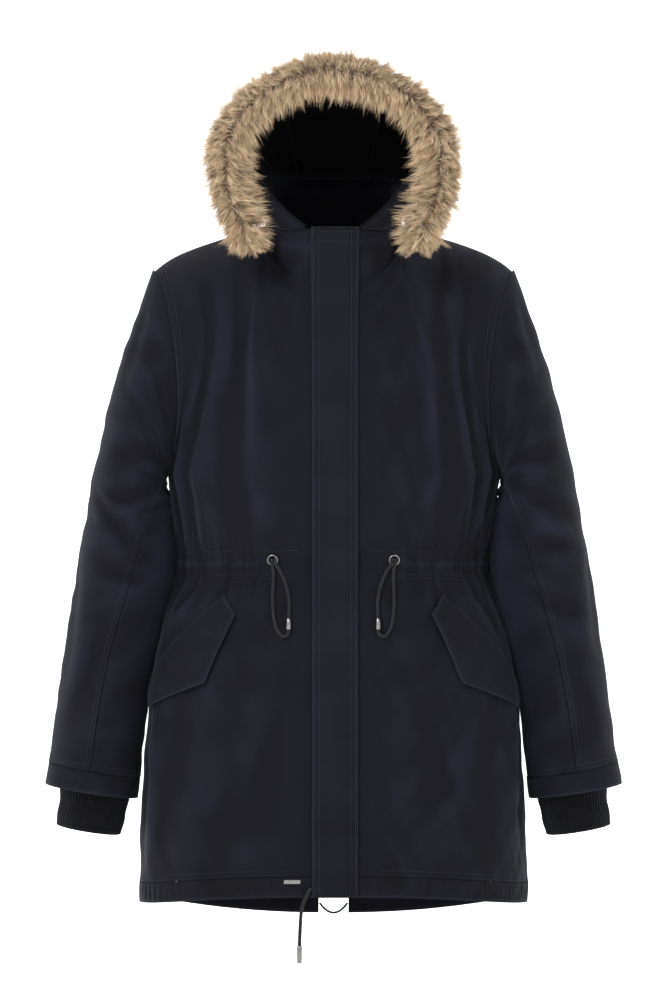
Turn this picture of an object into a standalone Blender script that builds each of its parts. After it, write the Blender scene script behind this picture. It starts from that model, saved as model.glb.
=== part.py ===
"""A fur trimmed parka with its hood up, filled out and hollow as if worn.

Metres, +Z up. The front faces -Y and the wearer's left is +X. The origin is at the base of the wearer's neck.
Every cloth piece is a wall between two distances from a surface, and the surfaces come from the tables below.
"""

import math

import bpy
import numpy as np

# Cloth
CLOTH = 0.002  # thickness of a wall of cloth
GAP = 0.0003  # between pieces at a seam
HALF_GAP = GAP / 2
EASE = 0.0006  # at the side, shoulder and armhole seams, where walls meet at an angle
SEAM = (HALF_GAP, HALF_GAP, HALF_GAP, HALF_GAP)
SLEEVE_TRIMS = (GAP, GAP, HALF_GAP, HALF_GAP)
RIGHT_ANGLE = math.pi / 2

# Heights of the body
ARMPIT = -0.277
HEM_DEPTH = 0.026  # height of the hem casing
HEM_FRONT = -0.812  # lower edge at the centre front
HEM_SIDE_DROP = 0.017  # how much lower the hem is at the side
HEM_BACK_DROP = 0.033  # and how much more at the centre back
VENT_HEIGHT = 0.150
VENT_HALF_WIDTH = 0.019

# Half of the torso's horizontal sections, below the armpit.
# height, half width, depth of front, depth of back, squareness
TORSO = (
    (-0.880, 0.2500, 0.146, 0.151, 2.50),
    (-0.800, 0.2505, 0.144, 0.149, 2.50),
    (-0.690, 0.2460, 0.140, 0.145, 2.50),
    (-0.600, 0.2405, 0.136, 0.140, 2.50),
    (-0.550, 0.2365, 0.133, 0.136, 2.50),
    (-0.505, 0.2300, 0.130, 0.131, 2.50),
    (-0.455, 0.2190, 0.125, 0.124, 2.45),
    (-0.415, 0.2080, 0.119, 0.117, 2.40),
    (-0.391, 0.2035, 0.114, 0.111, 2.40),
    (-0.365, 0.2060, 0.119, 0.116, 2.40),
    (-0.335, 0.2080, 0.124, 0.121, 2.45),
    (-0.277, 0.2140, 0.130, 0.126, 2.50),
)

# Largest folds of the torso, pressed in or standing out, the same on both sides.
# degrees round from the centre front, height, reach round in degrees, reach up and down, depth
FOLDS = (
    (47.0, -0.325, 9.0, 0.060, 0.0060),
    (58.0, -0.350, 8.0, 0.055, -0.0060),
    (74.0, -0.395, 7.5, 0.060, -0.0080),
    (64.0, -0.640, 12.0, 0.110, 0.0060),
    (20.0, -0.760, 9.0, 0.080, -0.0050),
    (42.0, -0.770, 10.0, 0.080, 0.0050),
    (106.0, -0.400, 8.0, 0.060, -0.0080),
    (128.0, -0.340, 9.0, 0.070, 0.0060),
    (146.0, -0.385, 8.0, 0.060, -0.0060),
    (132.0, -0.690, 12.0, 0.120, 0.0060),
)

# Neckline, neck stand and shoulder
NECK_SHARE = 0.42  # share of a panel's top edge that is neckline, the rest being shoulder seam
NECK_HALF_WIDTH = 0.088
NECK_FRONT = -0.100
NECK_BACK = 0.085
NECK_FRONT_HEIGHT = -0.035
NECK_SIDE_HEIGHT = 0.045
NECK_BACK_RISE = 0.010
STAND_HALF_WIDTH = 0.083
STAND_FRONT = -0.094
STAND_BACK = 0.086
STAND_FRONT_HEIGHT = 0.035
STAND_SIDE_HEIGHT = 0.095
STAND_BACK_RISE = 0.010
SHOULDER_FALL = 0.044
CHEST_ROLL = 2.2  # squareness of the roll from chest to shoulder

# Rings of the sleeve, from the armhole to the wrist, in the plane through each ring's outer and inner point.
# distance along, outer x, outer z, inner x, inner z, reach to front, reach to back, bow towards the body
SLEEVE = (
    (0.000, 0.2330, -0.015, 0.2140, -0.277, 0.078, 0.088, 0.024),
    (0.055, 0.2525, -0.066, 0.2175, -0.282, 0.086, 0.091, 0.012),
    (0.135, 0.2780, -0.141, 0.2190, -0.288, 0.088, 0.089, 0.004),
    (0.215, 0.2980, -0.219, 0.2200, -0.298, 0.086, 0.085, 0.000),
    (0.315, 0.3180, -0.315, 0.2140, -0.338, 0.081, 0.076, 0.000),
    (0.365, 0.3262, -0.363, 0.2105, -0.386, 0.079, 0.071, 0.000),
    (0.415, 0.3340, -0.412, 0.2170, -0.428, 0.076, 0.066, 0.000),
    (0.515, 0.3490, -0.510, 0.2375, -0.528, 0.072, 0.056, 0.000),
    (0.655, 0.3685, -0.649, 0.2520, -0.669, 0.068, 0.044, 0.000),
    (0.684, 0.3730, -0.677, 0.2550, -0.696, 0.068, 0.042, 0.000),
)
SLEEVE_SQUARENESS = 2.15
ARMHOLE_STEP = 0.0022  # the sleeve's first ring stands this far out from the body's armhole
SLEEVE_SEAM = 0.655  # where the sleeve's hem is turned up
SLEEVE_END = 0.684

# Where the two seams of a sleeve lie round it: 0 outside, 90 front, 180 inside, 270 back.
# distance along, front seam, back seam
SLEEVE_SEAMS = (
    (0.000, 168, 196),
    (0.215, 150, 212),
    (0.275, 134, 222),
    (0.350, 110, 234),
    (0.450, 98, 244),
    (0.560, 91, 250),
    (0.684, 88, 254),
)

# Rings of the knit cuff, in the same terms as the sleeve.
CUFF = (
    (0.000, 0.3662, -0.644, 0.2544, -0.662, 0.0654, 0.0418, 0.0),
    (0.018, 0.3560, -0.664, 0.2630, -0.679, 0.0570, 0.0340, 0.0),
    (0.040, 0.3550, -0.685, 0.2660, -0.700, 0.0545, 0.0315, 0.0),
    (0.086, 0.3605, -0.730, 0.2760, -0.744, 0.0530, 0.0290, 0.0),
)
CUFF_END = 0.086
CUFF_WALL = 0.0025

# Arches of the hood, from its opening to the back of the neck. Each stands on the top of the neck stand.
# distance back, foot angle, crown y, crown z, half width, share of height where widest, roundness below,
# half width of the centre panel
HOOD = (
    (0.00, 23, -0.118, 0.206, 0.1085, 0.53, 1.40, 0.062),
    (0.20, 41, -0.060, 0.225, 0.1150, 0.47, 1.95, 0.064),
    (0.40, 58, 0.010, 0.236, 0.1180, 0.43, 2.30, 0.064),
    (0.60, 72, 0.080, 0.222, 0.1170, 0.40, 2.30, 0.062),
    (0.78, 82, 0.130, 0.178, 0.1080, 0.35, 2.00, 0.056),
    (0.90, 88, 0.130, 0.130, 0.0950, 0.20, 2.00, 0.049),
    (1.00, 90, 0.086, 0.105, 0.0835, 0.05, 2.00, 0.044),
)
HOOD_ROUNDNESS = 2.1
HOOD_COLUMNS = {"left": 9, "right": 9, "centre": 7}
FOOT_CLEAR = 0.0046  # how far the side panels stay above the stand
LINING_OFFSET = 0.0042
LINING_CLOTH = 0.0012

# Half of the fur trim, from the crown down to its hanging end.
# distance round, x, y, z, half band, half depth
FUR = (
    (0.00, 0.0000, -0.1367, 0.2340, 0.0255, 0.026),
    (0.05, 0.0360, -0.1367, 0.2290, 0.0255, 0.026),
    (0.10, 0.0765, -0.1352, 0.2120, 0.0260, 0.026),
    (0.15, 0.1135, -0.1302, 0.1830, 0.0275, 0.026),
    (0.20, 0.1340, -0.1249, 0.1480, 0.0280, 0.026),
    (0.25, 0.1370, -0.1222, 0.1150, 0.0280, 0.026),
    (0.30, 0.1320, -0.1182, 0.0780, 0.0285, 0.026),
    (0.35, 0.1160, -0.1242, 0.0390, 0.0280, 0.025),
    (0.38, 0.1105, -0.1282, 0.0180, 0.0210, 0.016),
    (0.40, 0.1085, -0.1302, 0.0090, 0.0080, 0.006),
)
FUR_SQUARENESS = 3.2

# Placket
STAND_CLEAR = 0.0050  # how far the stand's lower edge stays above the neckline
PLACKET_RIGHT = -0.027  # its free edge
PLACKET_LEFT = 0.031  # where it is stitched to the left front
PLACKET_TOP = 0.039
PLACKET_CLOTH = 0.0022

# Corners of a pocket flap, in degrees round from the centre front and metres of height.
FLAP_SEAM = ((36.5, -0.431), (83.0, -0.553))
FLAP_FREE_EDGE = ((29.5, -0.4565), (38.5, -0.543), (71.0, -0.5765))
FLAP_CLEAR = 0.0009  # under its sewn edge
FLAP_LIFT = 0.003  # how far its free edge stands off

# Waist drawcord: the loop that hangs from each eyelet, as x, height and distance in front of the cloth.
# The loop leaves the eyelet beside its outer rim and comes back beside its inner rim, through the ferrule.
EYELET = (0.077, -0.386)
EYELET_RADIUS = 0.0060  # of the ring's middle line
EYELET_WIRE = 0.0012
WAIST_CORD = 0.0040
WAIST_CORD_ROUTE = (
    (0.0791, -0.3860, 0.0020),
    (0.0791, -0.3866, 0.0052),
    (0.0785, -0.3905, 0.0078),
    (0.0765, -0.3985, 0.0072),
    (0.0762, -0.4120, 0.0052),
    (0.0768, -0.4300, 0.0038),
    (0.0765, -0.4480, 0.0034),
    (0.0745, -0.4640, 0.0033),
    (0.0700, -0.4765, 0.0033),
    (0.0637, -0.4826, 0.0033),
    (0.0580, -0.4800, 0.0036),
    (0.0567, -0.4700, 0.0040),
    (0.0566, -0.4600, 0.0040),
    (0.0560, -0.4480, 0.0038),
    (0.0567, -0.4320, 0.0038),
    (0.0610, -0.4150, 0.0050),
    (0.0680, -0.3995, 0.0068),
    (0.0733, -0.3910, 0.0078),
    (0.0749, -0.3866, 0.0052),
    (0.0749, -0.3860, 0.0020),
)
FERRULE = (0.0567, -0.4740, -0.4600)  # x, lower end, upper end
FERRULE_OFF = 0.0040
FERRULE_WALL = 0.0007

# Hem drawcord: x, y before the hem's face, height
HEM_FACE = 0.0016 + GAP  # how far the hem's outer face stands before its surface
HEM_CORD = 0.0045
HEM_CORD_ROUTE = (
    (-0.0290, 0.0032, -0.8000),
    (-0.0312, 0.0032, -0.8040),
    (-0.0345, 0.0032, -0.8110),
    (-0.0385, 0.0032, -0.8200),
    (-0.0405, 0.0030, -0.8300),
    (-0.0415, 0.0022, -0.8420),
    (-0.0422, 0.0012, -0.8560),
    (-0.0428, 0.0004, -0.8720),
)
TIP_LENGTH = 0.022
TIP_RADIUS = 0.0029
VENT_CORD_SAG = 0.013

HEM_BAR = (-0.052, -0.792)  # middle of the plain metal bar
HEM_BAR_SIZE = (0.021, 0.0012, 0.005)

# Rows of the panels: heights below the armpit, closer at the waist, then even steps up to the shoulder
ROW_HEIGHTS = np.array([-0.788, -0.735, -0.680, -0.625, -0.575, -0.530, -0.485, -0.448, -0.420, -0.403,
                        -0.391, -0.379, -0.362, -0.335, -0.306])
BODY_LEVELS = np.concatenate([
    (ROW_HEIGHTS - ARMPIT) / (ARMPIT - ROW_HEIGHTS[0]),
    np.linspace(0, 1, 9),
])
NECK_COLUMNS = 6
PANEL_SHARES = np.concatenate([
    np.linspace(0, NECK_SHARE, NECK_COLUMNS),
    np.linspace(NECK_SHARE, 1, 7)[1:],
])
FRONT_START = 0.002  # angle of a front's edge under the placket
BACK_START = RIGHT_ANGLE + 1e-6  # just past the side seam, so that it counts as the back

# The angle whose chord at the back hem is the vent's half width
VENT_ANGLE = math.asin((VENT_HALF_WIDTH / TORSO[1][1]) ** (TORSO[1][4] / 2))

NAVY = (0.0145, 0.0146, 0.0228)
NAVY_DEEP = (0.0110, 0.0115, 0.0165)
LINING = (0.0060, 0.0062, 0.0080)
KNIT = (0.0065, 0.0065, 0.0070)
FUR_BROWN = (0.330, 0.235, 0.135)
GUNMETAL = (0.280, 0.270, 0.260)


def rows_at(table, at):
    """Each column of a table at the places `at` along its first column, on smooth curves through its rows."""
    rows = np.array(table, float)
    keys = rows[:, 0]
    at = np.clip(np.asarray(at, float), keys[0], keys[-1])
    slopes = np.gradient(rows, keys, axis=0)
    before = np.clip(np.searchsorted(keys, at, side="right") - 1, 0, len(keys) - 2)
    span = (keys[before + 1] - keys[before])[..., None]
    t = (at - keys[before])[..., None] / span
    ease = t * t * (3 - 2 * t)
    values = rows[before] * (1 - ease) + rows[before + 1] * ease
    values += span * (t**3 - 2 * t**2 + t) * slopes[before]
    values += span * (t**3 - t**2) * slopes[before + 1]
    return np.moveaxis(values, -1, 0)[1:]


def rounded(angle, squareness):
    """Cosine and sine of an angle, squared off: 2 gives a circle, and more gives fuller corners."""
    cosine, sine = np.cos(angle), np.sin(angle)
    power = 2 / squareness
    return np.sign(cosine) * np.abs(cosine) ** power, np.sign(sine) * np.abs(sine) ** power


def smoothstep(value):
    t = np.clip(value, 0, 1)
    return t * t * (3 - 2 * t)


def hem_foot(around):
    """Height of the hem's lower edge, by angle from the centre front."""
    to_side = np.sin(np.minimum(np.abs(around), RIGHT_ANGLE)) ** 2
    to_back = smoothstep((np.abs(around) - RIGHT_ANGLE) / RIGHT_ANGLE)
    return HEM_FRONT - HEM_SIDE_DROP * to_side - HEM_BACK_DROP * to_back


def fold_height(around, height):
    """How far the largest folds stand out of the torso at a place."""
    degrees = np.degrees(around)
    total = 0.0
    for turn, middle, reach_round, reach_up, depth in FOLDS:
        away = ((degrees - turn) / reach_round) ** 2 + ((height - middle) / reach_up) ** 2
        total = total + depth * np.exp(-away)
    return total


def skirt(around, height):
    """A point of the torso below the armpits. `around` runs from 0 at the front to pi at the back."""
    half_width, front, back, squareness = rows_at(TORSO, height)
    cosine, sine = rounded(around, squareness)
    depth = np.where(cosine > 0, front, back)
    grown = 1 + fold_height(around, height) / half_width
    return np.stack([half_width * sine * grown, -depth * cosine * grown, height + 0 * around], axis=-1)


def neckline(around):
    cosine, sine = np.cos(around), np.sin(around)
    y = np.where(cosine > 0, NECK_FRONT * cosine, -NECK_BACK * cosine)
    climb = np.clip(1 - cosine, 0, 1) ** 1.3
    back = np.clip(-cosine, 0, 1)
    z = NECK_FRONT_HEIGHT + (NECK_SIDE_HEIGHT - NECK_FRONT_HEIGHT) * climb + NECK_BACK_RISE * back
    return np.stack([NECK_HALF_WIDTH * sine, y, z], axis=-1)


def stand_top(around):
    cosine, sine = np.cos(around), np.sin(around)
    y = np.where(cosine > 0, STAND_FRONT * cosine, -STAND_BACK * cosine)
    climb = np.clip(1 - cosine, 0, 1) ** 3.5
    back = np.clip(-cosine, 0, 1)
    z = STAND_FRONT_HEIGHT + (STAND_SIDE_HEIGHT - STAND_FRONT_HEIGHT) * climb + STAND_BACK_RISE * back
    return np.stack([STAND_HALF_WIDTH * sine, y, z], axis=-1)


def stand(around, rise):
    low, high = neckline(around), stand_top(around)
    return low + (high - low) * np.asarray(rise)[..., None]


def shoulder(share):
    """The shoulder seam, from the neckline at 0 to the shoulder's tip at 1, on the wearer's left."""
    start, end = neckline(np.array(RIGHT_ANGLE)), sleeve_ring(np.array(0.0), np.array(0.0))
    x = start[0] + (end[0] - start[0]) * share
    y = start[1] + (end[1] - start[1]) * share
    z = start[2] - SHOULDER_FALL * share - (start[2] - end[2] - SHOULDER_FALL) * share**6
    return np.stack([x, y, z], axis=-1)


def ring(table, turn, along, squareness):
    """A point of a tube of rings. `turn` is 0 outside, 90 degrees in front and 180 degrees inside."""
    outer_x, outer_z, inner_x, inner_z, front, back, bow = rows_at(table, along)
    cosine, sine = rounded(turn, squareness)
    x = (outer_x + inner_x) / 2 + (outer_x - inner_x) / 2 * cosine - bow * sine**2
    z = (outer_z + inner_z) / 2 + (outer_z - inner_z) / 2 * cosine
    y = np.where(sine > 0, -front * sine, -back * sine)
    return np.stack([x, y, z], axis=-1)


def sleeve_ring(turn, along):
    return ring(SLEEVE, turn, along, SLEEVE_SQUARENESS)


def sleeve(turn, along):
    step = ARMHOLE_STEP * (1 - smoothstep(np.asarray(along) / 0.055))
    return sleeve_ring(turn, along) + np.stack([step, 0 * step, 0 * step], axis=-1)


def cuff(turn, along):
    return ring(CUFF, turn, along, SLEEVE_SQUARENESS)


def yoke(around, rise):
    """A point of the torso above the armpits, up to the neckline and the shoulder seam."""
    side = np.abs(around)
    in_front = side <= RIGHT_ANGLE
    share = np.where(in_front, side, math.pi - side) / RIGHT_ANGLE
    on_neck = share <= NECK_SHARE
    neck_turn = RIGHT_ANGLE * np.clip(share / NECK_SHARE, 0, 1)
    neck = neckline(np.where(in_front, neck_turn, math.pi - neck_turn))
    seam = shoulder(np.clip((share - NECK_SHARE) / (1 - NECK_SHARE), 0, 1))
    top = np.where(on_neck[..., None], neck, seam)
    bottom = skirt(side, np.full_like(side, ARMPIT))
    roll = RIGHT_ANGLE * np.clip(rise, 0, 1)
    up = np.sin(roll) ** (2 / CHEST_ROLL)
    rolled = 1 - np.cos(roll) ** (2 / CHEST_ROLL)
    inward = up**2 + (rolled - up**2) * smoothstep(share / NECK_SHARE)
    weight = np.stack([up, inward, up], axis=-1)
    turn = math.pi * np.where(in_front, 1 - rise, 1 + rise)
    armhole = sleeve_ring(turn, np.zeros_like(turn))
    tip, pit = sleeve_ring(np.array(0.0), np.array(0.0)), sleeve_ring(np.array(math.pi), np.array(0.0))
    blend = bottom + (top - bottom) * weight
    point = blend + (armhole - (pit + (tip - pit) * weight)) * (share**2.5)[..., None]
    return point * np.stack([np.where(around < 0, -1, 1), 1 + 0 * side, 1 + 0 * side], axis=-1)


def body(around, level):
    """A point of the torso. `level` is -1 at the foot of the panels, 0 at the armpit and 1 at the top."""
    foot = hem_foot(around) + HEM_DEPTH
    below = skirt(around, ARMPIT + (foot - ARMPIT) * np.clip(-level, 0, 1.02))
    return np.where((level < 0)[..., None], below, yoke(around, level))


def hem(around, rise):
    return skirt(around, hem_foot(around) + HEM_DEPTH * rise)


def hood(arc, back):
    """A point of the hood. `arc` is 0 over the crown and 1 or -1 at its feet, `back` 0 at the opening."""
    foot, crown_y, crown_z, half_width, widest, low_power, _ = rows_at(HOOD, back)
    base = stand_top(np.radians(foot))
    half_width = np.maximum(half_width, base[..., 0] + 0.0004)
    low = base[..., 0] / half_width
    reach = widest / (1 - low**low_power) ** (1 / low_power)
    low_turn = np.arccos(low ** (low_power / 2))
    turn = RIGHT_ANGLE - np.abs(arc) * (RIGHT_ANGLE + low_turn)
    power = 2 / np.where(turn > 0, HOOD_ROUNDNESS, low_power)
    across = half_width * np.abs(np.cos(turn)) ** power
    lift = np.abs(np.sin(turn)) ** power
    climb = np.where(turn > 0, widest + (1 - widest) * lift, widest - reach * lift)
    y = base[..., 1] + (crown_y - base[..., 1]) * climb
    z = base[..., 2] + (crown_z - base[..., 2]) * climb
    return np.stack([np.sign(arc) * across, y, z], axis=-1)


def hood_seam(back):
    """The arc at which the seam between the centre and side panels lies."""
    foot, _, _, half_width, _, low_power, seam = rows_at(HOOD, back)
    base = stand_top(np.radians(foot))
    half_width = np.maximum(half_width, base[..., 0] + 0.0004)
    low_turn = np.arccos((base[..., 0] / half_width) ** (low_power / 2))
    turn = np.arccos((seam / half_width) ** (HOOD_ROUNDNESS / 2))
    return (RIGHT_ANGLE - turn) / (RIGHT_ANGLE + low_turn)


def around_at(x, level):
    """The angle at which the front has a given x, found by halving."""
    low, high = np.zeros_like(level), np.full_like(level, RIGHT_ANGLE)
    for _ in range(30):
        middle = (low + high) / 2
        inside = body(middle, level)[..., 0] < abs(x)
        low, high = np.where(inside, middle, low), np.where(inside, high, middle)
    return math.copysign(1, x) * (low + high) / 2


def grid(start, end, across, rows):
    """Two arrays of parameters, with a value of `start` and `end` for each row if they are arrays.

    `across` is a number of columns, or their places between 0 and 1.
    """
    rows = np.asarray(rows)
    share = (np.linspace(0, 1, across) if np.isscalar(across) else across)[None, :]
    start, end = np.broadcast_to(start, rows.shape), np.broadcast_to(end, rows.shape)
    return start[:, None] + (end - start)[:, None] * share, np.repeat(rows[:, None], share.shape[1], axis=1)


def surface_points(surface, u, v, flip=False):
    """Points of a surface and its outward normals."""
    step = 1e-4
    inset = 0.004 * (v.max() - v.min())
    near = np.clip(v, v.min(), v.max() - inset)
    across = surface(np.minimum(u + step, u.max()), near) - surface(np.maximum(u - step, u.min()), near)
    up = surface(u, near + step) - surface(u, near - step)
    normal = np.cross(across, up)
    normal /= np.linalg.norm(normal, axis=-1, keepdims=True)
    return surface(u, v), -normal if flip else normal


def trimmed(points, trims):
    """The grid with its four edges drawn in by (left, right, bottom, top) metres."""
    points = points.copy()
    left, right, bottom, top = trims

    def draw_in(edge, inner, amount):
        way = inner - edge
        return edge + amount * way / np.linalg.norm(way, axis=-1, keepdims=True)

    first, last = points[:, 0].copy(), points[:, -1].copy()
    points[:, 0] = draw_in(first, points[:, 1], left)
    points[:, -1] = draw_in(last, points[:, -2], right)
    first, last = points[0].copy(), points[-1].copy()
    points[0] = draw_in(first, points[1], bottom)
    points[-1] = draw_in(last, points[-2], top)
    return points


def material(name, colour, roughness, metallic=0.0):
    made = bpy.data.materials.new(name)
    made.use_nodes = True
    shader = made.node_tree.nodes["Principled BSDF"]
    shader.inputs["Base Color"].default_value = (*colour, 1)
    shader.inputs["Roughness"].default_value = roughness
    shader.inputs["Metallic"].default_value = metallic
    made.diffuse_color = (*colour, 1)
    return made


def add_mesh(name, points, faces, finish):
    mesh = bpy.data.meshes.new(name)
    mesh.from_pydata([tuple(map(float, p)) for p in points], [], faces)
    mesh.validate()
    mesh.shade_smooth()
    mesh.set_sharp_from_angle(angle=math.radians(40))
    mesh.materials.append(finish)
    made = bpy.data.objects.new(name, mesh)
    bpy.context.scene.collection.objects.link(made)
    return made


def wall(name, points, normals, inner, outer, finish, closed=False):
    """A closed wall from a grid of points, between two distances along the normals."""
    rows, columns = points.shape[:2]
    inner, outer = (np.broadcast_to(d, (rows, columns))[..., None] for d in (inner, outer))
    corners = np.concatenate([
        (points + normals * outer).reshape(-1, 3),
        (points + normals * inner).reshape(-1, 3),
    ])
    under = rows * columns
    faces = []

    def quad(a, b, c, d):
        faces.append((a, b, c, d))

    wrap = columns if closed else columns - 1
    for i in range(rows - 1):
        for j in range(wrap):
            k = (j + 1) % columns
            a, b, c, d = i * columns + j, i * columns + k, (i + 1) * columns + k, (i + 1) * columns + j
            quad(a, b, c, d)
            quad(under + d, under + c, under + b, under + a)
    for j in range(wrap):
        k = (j + 1) % columns
        last = (rows - 1) * columns
        quad(j, under + j, under + k, k)
        quad(last + k, under + last + k, under + last + j, last + j)
    if not closed:
        for i in range(rows - 1):
            a, d = i * columns, (i + 1) * columns
            quad(a, d, under + d, under + a)
            quad(d + columns - 1, a + columns - 1, under + a + columns - 1, under + d + columns - 1)
    return add_mesh(name, corners, faces, finish)


def sheet(name, surface, parameters, finish, trims=SEAM, inner=-CLOTH / 2, outer=CLOTH / 2, mirror=False,
          flip=False, closed=False):
    """A wall on a surface. A mirrored piece is the wearer's right one, made from the left one's surface."""
    u, v = parameters
    points, normals = surface_points(surface, u, v, flip)
    if not closed:
        points = trimmed(points, trims)
    if mirror:
        across = np.array([-1, 1, 1])
        points, normals = points[:, ::-1] * across, normals[:, ::-1] * across
        inner, outer = (d[:, ::-1] if np.ndim(d) == 2 else d for d in (inner, outer))
    return wall(name, points, normals, inner, outer, finish, closed)


def vent_angle(levels):
    """Half angle of the back vent at each level, narrowing to nothing at its top."""
    lowest = HEM_FRONT - HEM_SIDE_DROP - HEM_BACK_DROP + HEM_DEPTH
    height = ARMPIT + (lowest - ARMPIT) * np.clip(-levels, 0, 1)
    foot = HEM_FRONT - HEM_SIDE_DROP - HEM_BACK_DROP
    open_share = np.clip(1 - (height - foot) / VENT_HEIGHT, 0, 1)
    return FRONT_START + VENT_ANGLE * open_share


def add_fronts_and_backs(cloth):
    for side, mirror in (("left", False), ("right", True)):
        front = grid(FRONT_START, RIGHT_ANGLE, PANEL_SHARES, BODY_LEVELS)
        sheet(f"front_{side}", body, front, cloth, mirror=mirror, trims=(0, EASE, HALF_GAP, EASE))
        back = grid(BACK_START, math.pi - vent_angle(BODY_LEVELS), 1 - PANEL_SHARES[::-1], BODY_LEVELS)
        sheet(f"back_{side}", body, back, cloth, mirror=mirror, trims=(EASE, HALF_GAP, HALF_GAP, EASE))


def add_hem(cloth):
    for side, mirror in (("left", False), ("right", True)):
        front = grid(FRONT_START, RIGHT_ANGLE, PANEL_SHARES, np.linspace(0, 1, 3))
        sheet(f"hem_front_{side}", hem, front, cloth, mirror=mirror, inner=-0.0016, outer=0.0016)
        back = grid(BACK_START, math.pi - FRONT_START - VENT_ANGLE, 1 - PANEL_SHARES[::-1],
                    np.linspace(0, 1, 3))
        sheet(f"hem_back_{side}", hem, back, cloth, mirror=mirror, inner=-0.0016, outer=0.0016)


def add_stand(cloth):
    """The neck stand, whose lower edge stays clear of the panels' rolled-over tops."""
    quarter = np.radians(np.linspace(0, 90, NECK_COLUMNS))
    quarter[0] = FRONT_START * 5
    half = np.radians(np.linspace(90, 270, 2 * NECK_COLUMNS - 1))
    rise = np.linspace(0, 1, 4)
    trims = (HALF_GAP, HALF_GAP, STAND_CLEAR, HALF_GAP)
    for name, angles in (("left", quarter), ("back", half), ("right", -quarter[::-1])):
        band = np.meshgrid(angles, rise)
        sheet(f"stand_{name}", stand, band, cloth, trims=trims)


def hood_span(name, back):
    """Where a panel of the hood starts and ends across it."""
    seam = hood_seam(back)
    return {"left": (seam, 0.99), "right": (-0.99, -seam), "centre": (-seam, seam)}[name]


def add_hood(cloth, lining):
    rows = np.array([0.0, 0.1, 0.2, 0.35, 0.5, 0.65, 0.78, 0.86, 0.93, 1.0])
    for name in HOOD_COLUMNS:
        panel = grid(*hood_span(name, rows), HOOD_COLUMNS[name], rows)
        right_foot, left_foot = (FOOT_CLEAR if name == side else HALF_GAP for side in ("right", "left"))
        sheet(f"hood_{name}", hood, panel, cloth, trims=(right_foot, left_foot, HALF_GAP, 0.0016))
        inside = grid(*hood_span(name, rows[1:]), HOOD_COLUMNS[name], rows[1:])
        sheet(f"hood_lining_{name}", hood, inside, lining, inner=-LINING_OFFSET - LINING_CLOTH / 2,
              outer=-LINING_OFFSET + LINING_CLOTH / 2, trims=(0.0006, 0.0006, 0.0006, 0.0050))
    rows = np.array([0.002, rows[1] - 0.004])
    parts = [grid(*hood_span(name, rows), HOOD_COLUMNS[name], rows) for name in ("right", "centre", "left")]
    across = np.concatenate([parts[0][0], parts[1][0][:, 1:], parts[2][0][:, 1:]], axis=1)
    edge = across, np.repeat(rows[:, None], across.shape[1], axis=1)
    sheet("hood_edge", hood, edge, cloth, inner=-LINING_OFFSET - 0.0010, outer=-LINING_OFFSET + 0.0008)


def add_tube(name, rings, finish):
    """A closed solid through rings of points, with a flat fan at each end."""
    count = len(rings[0])
    points = [p for one in rings for p in one] + [np.mean(rings[0], axis=0), np.mean(rings[-1], axis=0)]
    first, last = len(points) - 2, len(points) - 1
    faces = []
    for i in range(len(rings) - 1):
        for j in range(count):
            k = (j + 1) % count
            faces.append((i * count + j, i * count + k, (i + 1) * count + k, (i + 1) * count + j))
    foot = (len(rings) - 1) * count
    for j in range(count):
        k = (j + 1) % count
        faces.append((first, k, j))
        faces.append((last, foot + j, foot + k))
    return add_mesh(name, points, faces, finish)


def fur_section(along):
    """Middle, outward direction, half band and half depth of the fur, from -1 to 1 round the opening."""
    at = np.abs(along) * FUR[-1][0]
    x, y, z, band, depth = rows_at(FUR, at)
    step = 1e-3
    near, far = rows_at(FUR, np.maximum(at - step, 0)), rows_at(FUR, np.minimum(at + step, FUR[-1][0]))
    way = np.array([far[0] - near[0], far[2] - near[2]])
    way = way / np.linalg.norm(way)
    sign = -1 if along < 0 else 1
    outward = np.array([-way[1] * sign, 0, way[0]])
    return np.array([x * sign, y, z]), outward, band, depth


def add_fur(fur):
    rings = []
    for along in np.linspace(-1, 1, 33):
        middle, outward, band, depth = fur_section(along)
        turns = np.linspace(0, 2 * math.pi, 12, endpoint=False)
        forward = np.array([0, -1, 0])
        cosines, sines = rounded(turns, FUR_SQUARENESS)
        rings.append([middle + outward * band * c + forward * depth * s for c, s in zip(cosines, sines)])
    add_tube("fur_trim", rings, fur)


def add_sleeves(cloth, knit):
    upper = np.array([0.0, 0.012, 0.03, 0.055, 0.095, 0.135, 0.175, 0.215, 0.26, 0.315, 0.365, 0.415,
                      0.465, 0.515, 0.56, 0.61, SLEEVE_SEAM])
    front_seam, back_seam = (np.radians(column) for column in rows_at(SLEEVE_SEAMS, upper))
    for side, mirror in (("left", False), ("right", True)):
        top = grid(back_seam - 2 * math.pi, front_seam, 13, upper)
        sheet(f"sleeve_top_{side}", sleeve, top, cloth, mirror=mirror, trims=SLEEVE_TRIMS)
        under = grid(front_seam, back_seam, 7, upper)
        sheet(f"sleeve_under_{side}", sleeve, under, cloth, mirror=mirror, trims=SLEEVE_TRIMS)
        turned = grid(0, 2 * math.pi * 19 / 20, 20, np.linspace(SLEEVE_SEAM + GAP, SLEEVE_END, 3))
        sheet(f"sleeve_hem_{side}", sleeve, turned, cloth, mirror=mirror, closed=True, outer=0.0016)
        band = grid(0, 2 * math.pi * 19 / 20, 20, np.array([0, 0.012, 0.028, 0.056, CUFF_END]))
        sheet(f"knit_cuff_{side}", cuff, band, knit, mirror=mirror, closed=True, inner=-CUFF_WALL,
              outer=0.0)


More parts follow.
